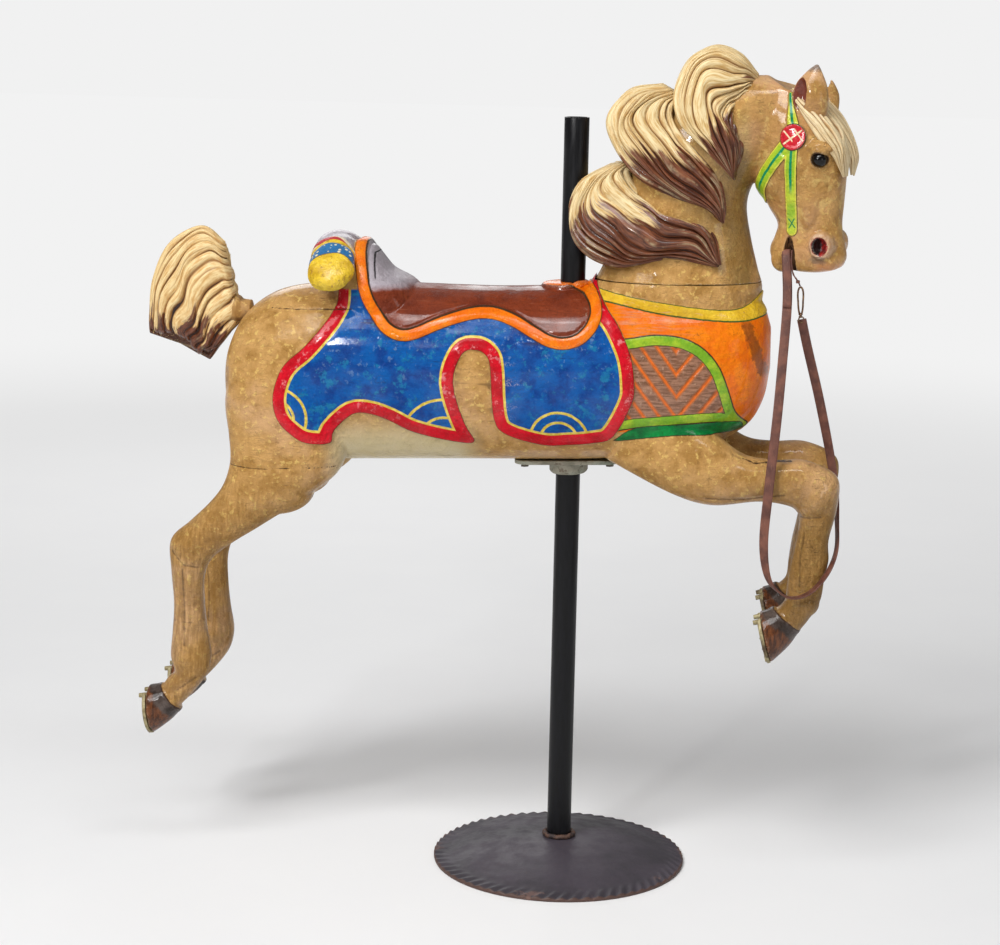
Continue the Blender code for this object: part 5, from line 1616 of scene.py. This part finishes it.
candy = blend(diagonal, -0.1, 0.1, (214, 200, 170), (180, 44, 48))
colour = over(ochre, rise(stripe, 12.5, 12.3), paint(92, 66, 30))
colour = layered(
    colour,
    (rise(stripe, 12.3, 12.1), blue),
    (rise(stripe, 9.0, 8.8), ochre),
    (rise(stripe, 7.8, 7.6), candy),
    (rise(stripe, 6.4, 6.2), mix(age["mottle"], paint(150, 140, 150), paint(184, 176, 182))),
)
colour = dusted(colour, age, (age["mottle"] - 0.4) * 0.6)
coated(
    roll_paint,
    {"Base Color": colour, "Roughness": 0.4, "Coat Weight": 0.4, "Coat Roughness": 0.2},
    age["fine"] * 0.8 + age["mottle"] * 1.6,
    0.006,
    0.7,
)
piece(
    "blanket_roll",
    placed(horse_frame, roll_points),
    tube_faces(len(roll_rows), roll_sides),
    roll_paint,
    ["horse"],
    fields=roll_fields,
)

# Eyes
# Glass taxidermy eyes set in the wood, near black.
glass, where = new_finish("eye_glass")
clouds = noise(where, 260.0, 3.0)
coated(
    glass,
    {
        "Base Color": blend(clouds, 0.5, 0.7, (6, 4, 4), (22, 12, 8)),
        "Roughness": 0.03,
        "Specular IOR Level": 0.35,
    },
)
for label, side in (("eye_right", -1), ("eye_left", 1)):
    ball = bmesh.new()
    spot = head_frame @ Vector((EYE_PLACE[0], side * EYE_PLACE[1], EYE_PLACE[2]))
    spot = Matrix.Translation(spot)
    bmesh.ops.create_uvsphere(ball, u_segments=48, v_segments=32, radius=EYE_RADIUS, matrix=spot)
    block_piece(label, ball, glass, [label])

# Horseshoes
# Flat iron shoes nailed under the hooves, with a screwed knob at each heel and a low one at the toe,
# painted pale once and worn.
SHOE_THICKNESS = 0.007
SHOE_WIDTH = 0.014
CALK_RADIUS = 0.0055
CALK_LENGTH = 0.008
GAP = 0.0003
SHOE_SPREAD = 145
SHOE_SECTION = [
    (0.0, 0.06), (0.0, 0.8), (0.14, 1.0), (0.86, 1.0), (1.0, 0.8), (1.0, 0.06), (0.86, 0.0), (0.14, 0.0),
]
NAIL_TURNS = [-100, -72, -44, 44, 72, 100]
NAIL_RADIUS = 0.0018

shoe_iron, where = new_finish("shoe_iron")
age = aged(where)
coated(
    shoe_iron,
    {
        "Base Color": over(
            blend(age["fine"], 0.4, 0.6, (168, 158, 120), (132, 118, 84)),
            rise(age["mottle"], 0.52, 0.66),
            paint(82, 66, 48),
        ),
        "Roughness": 0.45 + 0.25 * age["mottle"],
        "Metallic": 0.35,
    },
    age["fine"] + age["grit"] * 0.4,
    0.0012,
    0.6,
)
for label, hoof, side in (
    ("horseshoe_fore_right", FORE_HOOF, -1),
    ("horseshoe_fore_left", FORE_HOOF, 1),
    ("horseshoe_hind_right", HIND_HOOF, -1),
    ("horseshoe_hind_left", HIND_HOOF, 1),
):
    matrix, reach = hoof_frame(hoof, side)
    half_wide = hoof[-1][2] * STEP
    shoe = bmesh.new()
    turns = np.radians(np.linspace(-SHOE_SPREAD, SHOE_SPREAD, 49))
    loops = []
    for t in turns:
        ring = []
        for inward, up in SHOE_SECTION:
            a = reach - SHOE_WIDTH * inward
            b = half_wide - SHOE_WIDTH * inward
            spot = Vector((a * math.cos(t), b * math.sin(t), GAP + SHOE_THICKNESS * up))
            ring.append(shoe.verts.new(matrix @ spot))
        loops.append(ring)
    skin_over(shoe, loops)
    middle_a = reach - SHOE_WIDTH / 2
    middle_b = half_wide - SHOE_WIDTH / 2
    knobs = [(math.radians(SHOE_SPREAD), 1.0), (math.radians(-SHOE_SPREAD), 1.0), (0.0, 0.4)]
    for t, share in knobs:
        spot = Matrix.Translation((middle_a * math.cos(t), middle_b * math.sin(t), GAP + SHOE_THICKNESS))
        add_stub(shoe, 24, CALK_RADIUS, CALK_RADIUS * 0.8, CALK_LENGTH * share * 2, matrix @ spot)
    for t in np.radians(NAIL_TURNS):
        place = Vector((middle_a * math.cos(t), middle_b * math.sin(t), GAP + SHOE_THICKNESS))
        spot = matrix @ Matrix.Translation(place)
        bmesh.ops.create_uvsphere(shoe, u_segments=12, v_segments=8, radius=NAIL_RADIUS, matrix=spot)
    bmesh.ops.recalc_face_normals(shoe, faces=shoe.faces)
    block_piece(label, shoe, shoe_iron, [label], 40)

# Pole
# A length of 1 1/2 inch steel pipe through the horse, black enamel, open at the top and welded to the
# disc at its foot.
PIPE_WALL = 0.0037
PIPE_SIDES = 96

black_enamel, where = new_finish("black_enamel")
age = aged(where)
scuffs = noise(stretched(where, (30.0, 30.0, 4.0)), 6.0, 4.0)
coated(
    black_enamel,
    {
        "Base Color": over(
            blend(scuffs, 0.4, 0.65, (6, 6, 8), (14, 14, 18)),
            rise(age["grit"], 0.7, 0.76) * 0.5,
            paint(74, 70, 68),
        ),
        "Roughness": 0.3 + 0.18 * rise(scuffs, 0.4, 0.7),
        "Specular IOR Level": 0.25,
    },
    age["fine"] * 0.6 + age["grit"] * 0.3,
    0.0006,
    0.6,
)


def turned_points(profile, sides, centre=(0, 0)):
    """Points of a profile of radii and heights, turned round an upright axis."""
    turns = np.linspace(0, 2 * np.pi, sides, endpoint=False)
    rings = [path_of(centre[0] + r * np.cos(turns), centre[1] + r * np.sin(turns), z) for r, z in profile]
    return np.concatenate(rings)


pipe_foot, pipe_top = pole_low.z, pole_high.z
pipe_in = PIPE_RADIUS - PIPE_WALL
edge = 0.0006
pipe_profile = [
    (pipe_in, pipe_foot),
    (PIPE_RADIUS, pipe_foot),
    *[(PIPE_RADIUS, z) for z in np.linspace(pipe_foot + 0.02, pipe_top - edge, 24)],
    (PIPE_RADIUS - edge * 0.3, pipe_top - edge * 0.3),
    (PIPE_RADIUS - edge, pipe_top),
    (pipe_in + edge, pipe_top),
    (pipe_in, pipe_top - edge),
    (pipe_in, pipe_foot),
]
piece(
    "pole",
    turned_points(pipe_profile, PIPE_SIDES, POLE_AXIS[:2]),
    tube_faces(len(pipe_profile), PIPE_SIDES, closed=False),
    black_enamel,
    ["pole"],
    sharp=35,
)

# Base disc
# A dished disc of pressed steel with a crimped rim, painted a dark purplish grey. The pipe is welded
# into its crown with a rough bead.
DISC_RADIUS = 0.254
DISC_STEEL = 0.0045
DISC_CROWN = 0.048
FLUTE_COUNT = 64
FLUTE_LENGTH = 0.028
FLUTE_DEPTH = 0.004
FLUTE_SLANT = 5.0
RIM_FOOT = 0.006
WELD_WIDTH = 0.010
WELD_HEIGHT = 0.011


def disc_top(radius):
    return DISC_STEEL + (DISC_CROWN - DISC_STEEL) * (1 - (radius / DISC_RADIUS) ** 2)


disc_sides = FLUTE_COUNT * 8
bead_radius = PIPE_RADIUS + GAP
flute_start = DISC_RADIUS - FLUTE_LENGTH
disc_rows = [(r, disc_top(r)) for r in np.linspace(bead_radius, flute_start, 22)]
disc_rows += [(r, disc_top(r)) for r in np.linspace(flute_start, DISC_RADIUS, 13)[1:]]
top_rows = len(disc_rows)
disc_rows += [(DISC_RADIUS, 0.0025), (DISC_RADIUS - 0.0006, 0.0), (DISC_RADIUS - RIM_FOOT, 0.0)]
disc_rows += [(r, disc_top(r) - DISC_STEEL) for r in np.linspace(flute_start, bead_radius, 6)]
disc_points = turned_points(disc_rows, disc_sides, POLE_AXIS[:2])
radii = np.repeat([r for r, _ in disc_rows], disc_sides)
turn = np.tile(np.linspace(0, 2 * np.pi, disc_sides, endpoint=False), len(disc_rows))
upper_side = np.repeat([i < top_rows for i in range(len(disc_rows))], disc_sides)
reach = np.clip((radii - flute_start) / FLUTE_LENGTH, 0, 1)
flute = 0.5 + 0.5 * np.cos(FLUTE_COUNT * turn + FLUTE_SLANT * reach * upper_side)
disc_points[:, 2] += upper_side * FLUTE_DEPTH * reach**0.8 * flute
disc_points[:, 2] = np.maximum(disc_points[:, 2], 0)

disc_paint, where = new_finish("disc_paint")
age = aged(where)
reach_signal = field(where, "reach")
colour = blend(age["broad"], 0.4, 0.6, (58, 54, 60), (70, 64, 72))
colour = layered(
    colour,
    (rise(age["streak"], 0.6, 0.72) * 0.3, paint(70, 62, 64)),
    (rise(reach_signal + (age["mottle"] - 0.5) * 0.3, 0.82, 0.98) * 0.7, paint(96, 70, 58)),
    (rise(age["mottle"], 0.58, 0.68) * rise(reach_signal, 0.1, 0.5) * 0.5, paint(136, 106, 96)),
)
coated(
    disc_paint,
    {
        "Base Color": colour,
        "Roughness": 0.42 + 0.2 * rise(age["mottle"], 0.35, 0.7),
        "Specular IOR Level": 0.3,
    },
    age["fine"] * 0.6 + age["grit"] * 0.2 + age["mottle"],
    0.0012,
    0.5,
)
piece(
    "base_disc",
    disc_points,
    tube_faces(len(disc_rows), disc_sides, closed=False),
    disc_paint,
    ["base_disc"],
    fields={"reach": reach},
)
weld_random = np.random.default_rng(5)
weld_turns = np.linspace(0, 2 * np.pi, 120)
weld_middle = bead_radius + WELD_WIDTH * 0.42
weld_path = path_of(
    POLE_AXIS[0] + weld_middle * np.cos(weld_turns),
    POLE_AXIS[1] + weld_middle * np.sin(weld_turns),
    DISC_CROWN + WELD_HEIGHT * 0.36 + 0.0006 * np.sin(9 * weld_turns),
)
weld_radii = WELD_WIDTH * 0.5 * (1 + 0.1 * np.sin(38 * weld_turns) + 0.06 * weld_random.uniform(-1, 1, 120))
weld_iron, where = new_finish("weld_iron")
age = aged(where)
coated(
    weld_iron,
    {"Base Color": blend(age["fine"], 0.4, 0.6, (48, 38, 38), (92, 66, 54)), "Roughness": 0.6},
    age["fine"] + age["grit"],
    0.002,
    0.8,
)
wire_piece("weld_bead", weld_path, weld_radii, Matrix(), weld_iron, sides=16)

# Clamp under the belly
# A cast plate with a boss round the pole, held up by four bolts and locked to the pipe by a bent
# pin. The casting was painted grey-green and has rubbed through.
PLATE_LENGTH = 0.210
PLATE_WIDTH = 0.092
PLATE_THICKNESS = 0.008
BOSS_RADIUS = 0.038
BOSS_DROP = 0.031
BOLT_HEAD = 0.0085
BOLT_HEAD_HEIGHT = 0.006
BOLT_IN = 0.021
PIN_RADIUS = 0.0038
PIN_TAIL = 0.036
plate_frame = Matrix.Translation(POLE_AXIS + Vector((0, 0, BELLY_HEIGHT))) @ Matrix.Rotation(-NOSE_UP, 4, "Y")

cast_iron, where = new_finish("cast_iron")
age = aged(where)
colour = blend(age["mottle"], 0.4, 0.6, (128, 134, 120), (164, 166, 150))
colour = over(colour, rise(age["fine"], 0.54, 0.64) * 0.8, paint(84, 76, 64))
colour = over(colour, rise(age["broad"], 0.52, 0.62) * 0.4, paint(112, 86, 64))
coated(
    cast_iron,
    {"Base Color": colour, "Roughness": 0.5 + 0.2 * age["mottle"], "Metallic": 0.2},
    age["fine"] + age["grit"] * 0.6 + age["mottle"],
    0.002,
    0.8,
)
casting = bmesh.new()
size = Matrix.Diagonal((PLATE_LENGTH, PLATE_WIDTH, PLATE_THICKNESS, 1))
drop = Matrix.Translation((0, 0, -GAP - PLATE_THICKNESS / 2))
bmesh.ops.create_cube(casting, size=1, matrix=plate_frame @ drop @ size)
corners = [e for e in casting.edges if e.calc_length() < PLATE_THICKNESS * 1.1]
bmesh.ops.bevel(casting, geom=corners, offset=PLATE_WIDTH * 0.32, segments=10, affect="EDGES", profile=0.5)
long_edges = [e for e in casting.edges if len(e.link_faces) == 2 and e.calc_face_angle(0) > 0.9]
bmesh.ops.bevel(casting, geom=long_edges, offset=0.0012, segments=3, affect="EDGES", profile=0.5)
block_piece("clamp_plate", casting, cast_iron, ["belly_flange"], 40)
boss_profile = [
    (PIPE_RADIUS + GAP, -PLATE_THICKNESS / 2),
    (BOSS_RADIUS + 0.004, -PLATE_THICKNESS * 0.9),
    (BOSS_RADIUS + 0.001, -PLATE_THICKNESS * 1.2),
    (BOSS_RADIUS, -BOSS_DROP * 0.45),
    (BOSS_RADIUS, -BOSS_DROP * 0.78),
    (BOSS_RADIUS - 0.0022, -BOSS_DROP * 0.9),
    (BOSS_RADIUS * 0.86, -BOSS_DROP + 0.0003),
    (BOSS_RADIUS * 0.84, -BOSS_DROP),
    (PIPE_RADIUS + GAP + 0.001, -BOSS_DROP),
    (PIPE_RADIUS + GAP, -BOSS_DROP + 0.001),
    (PIPE_RADIUS + GAP, -PLATE_THICKNESS / 2),
]
piece(
    "clamp_boss",
    placed(plate_frame, turned_points(boss_profile, 72)),
    tube_faces(len(boss_profile), 72, closed=False),
    cast_iron,
    ["belly_flange"],
    sharp=50,
)

bolt_iron, where = new_finish("bolt_iron")
age = aged(where)
coated(
    bolt_iron,
    {
        "Base Color": blend(age["fine"], 0.42, 0.6, (116, 116, 104), (82, 72, 60)),
        "Roughness": 0.45,
        "Metallic": 0.5,
    },
    age["fine"] + age["grit"],
    0.001,
    0.8,
)
for number, (along, aside) in enumerate([(-1, -1), (1, -1), (-1, 1), (1, 1)], 1):
    spot = Vector((along * (PLATE_LENGTH / 2 - BOLT_IN), aside * (PLATE_WIDTH / 2 - BOLT_IN), 0))
    spot.z = -2 * GAP - PLATE_THICKNESS - BOLT_HEAD_HEIGHT / 2
    head = bmesh.new()
    middle = Matrix.Translation(spot)
    add_stub(head, 6, BOLT_HEAD, BOLT_HEAD, BOLT_HEAD_HEIGHT, plate_frame @ middle)
    bmesh.ops.bevel(head, geom=list(head.edges), offset=0.0008, segments=3, affect="EDGES", profile=0.5)
    label = f"flange_bolt_{number}"
    block_piece(label, head, bolt_iron, [label], 40)

pin_height = BELLY_HEIGHT - BOSS_DROP * 0.62
pin_bend = 2 * PIN_RADIUS
pin_front = -BOSS_RADIUS - 3 * PIN_RADIUS
pin_path = [(0, y, pin_height) for y in np.linspace(BOSS_RADIUS + 0.006, pin_front, 12)]
pin_path += [
    (0, pin_front - pin_bend * math.sin(t), pin_height - pin_bend + pin_bend * math.cos(t))
    for t in np.radians(np.linspace(10, 90, 9))
]
pin_tail = np.linspace(pin_height - pin_bend - 0.004, pin_height - PIN_TAIL, 5)
pin_path += [(0, pin_front - pin_bend, z) for z in pin_tail]
pin_iron, where = new_finish("pin_iron")
age = aged(where)
coated(
    pin_iron,
    {
        "Base Color": blend(age["fine"], 0.42, 0.6, (70, 54, 46), (106, 88, 76)),
        "Roughness": 0.5,
        "Metallic": 0.6,
    },
    age["fine"] + age["grit"],
    0.001,
    0.8,
)
at_pole = Matrix.Translation(POLE_AXIS)
wire_piece("pole_pin", pin_path, PIN_RADIUS, at_pole, pin_iron, ["pole_pin"], 20)

# Update
# The view layer is brought up to date at the end.
bpy.context.view_layer.update()
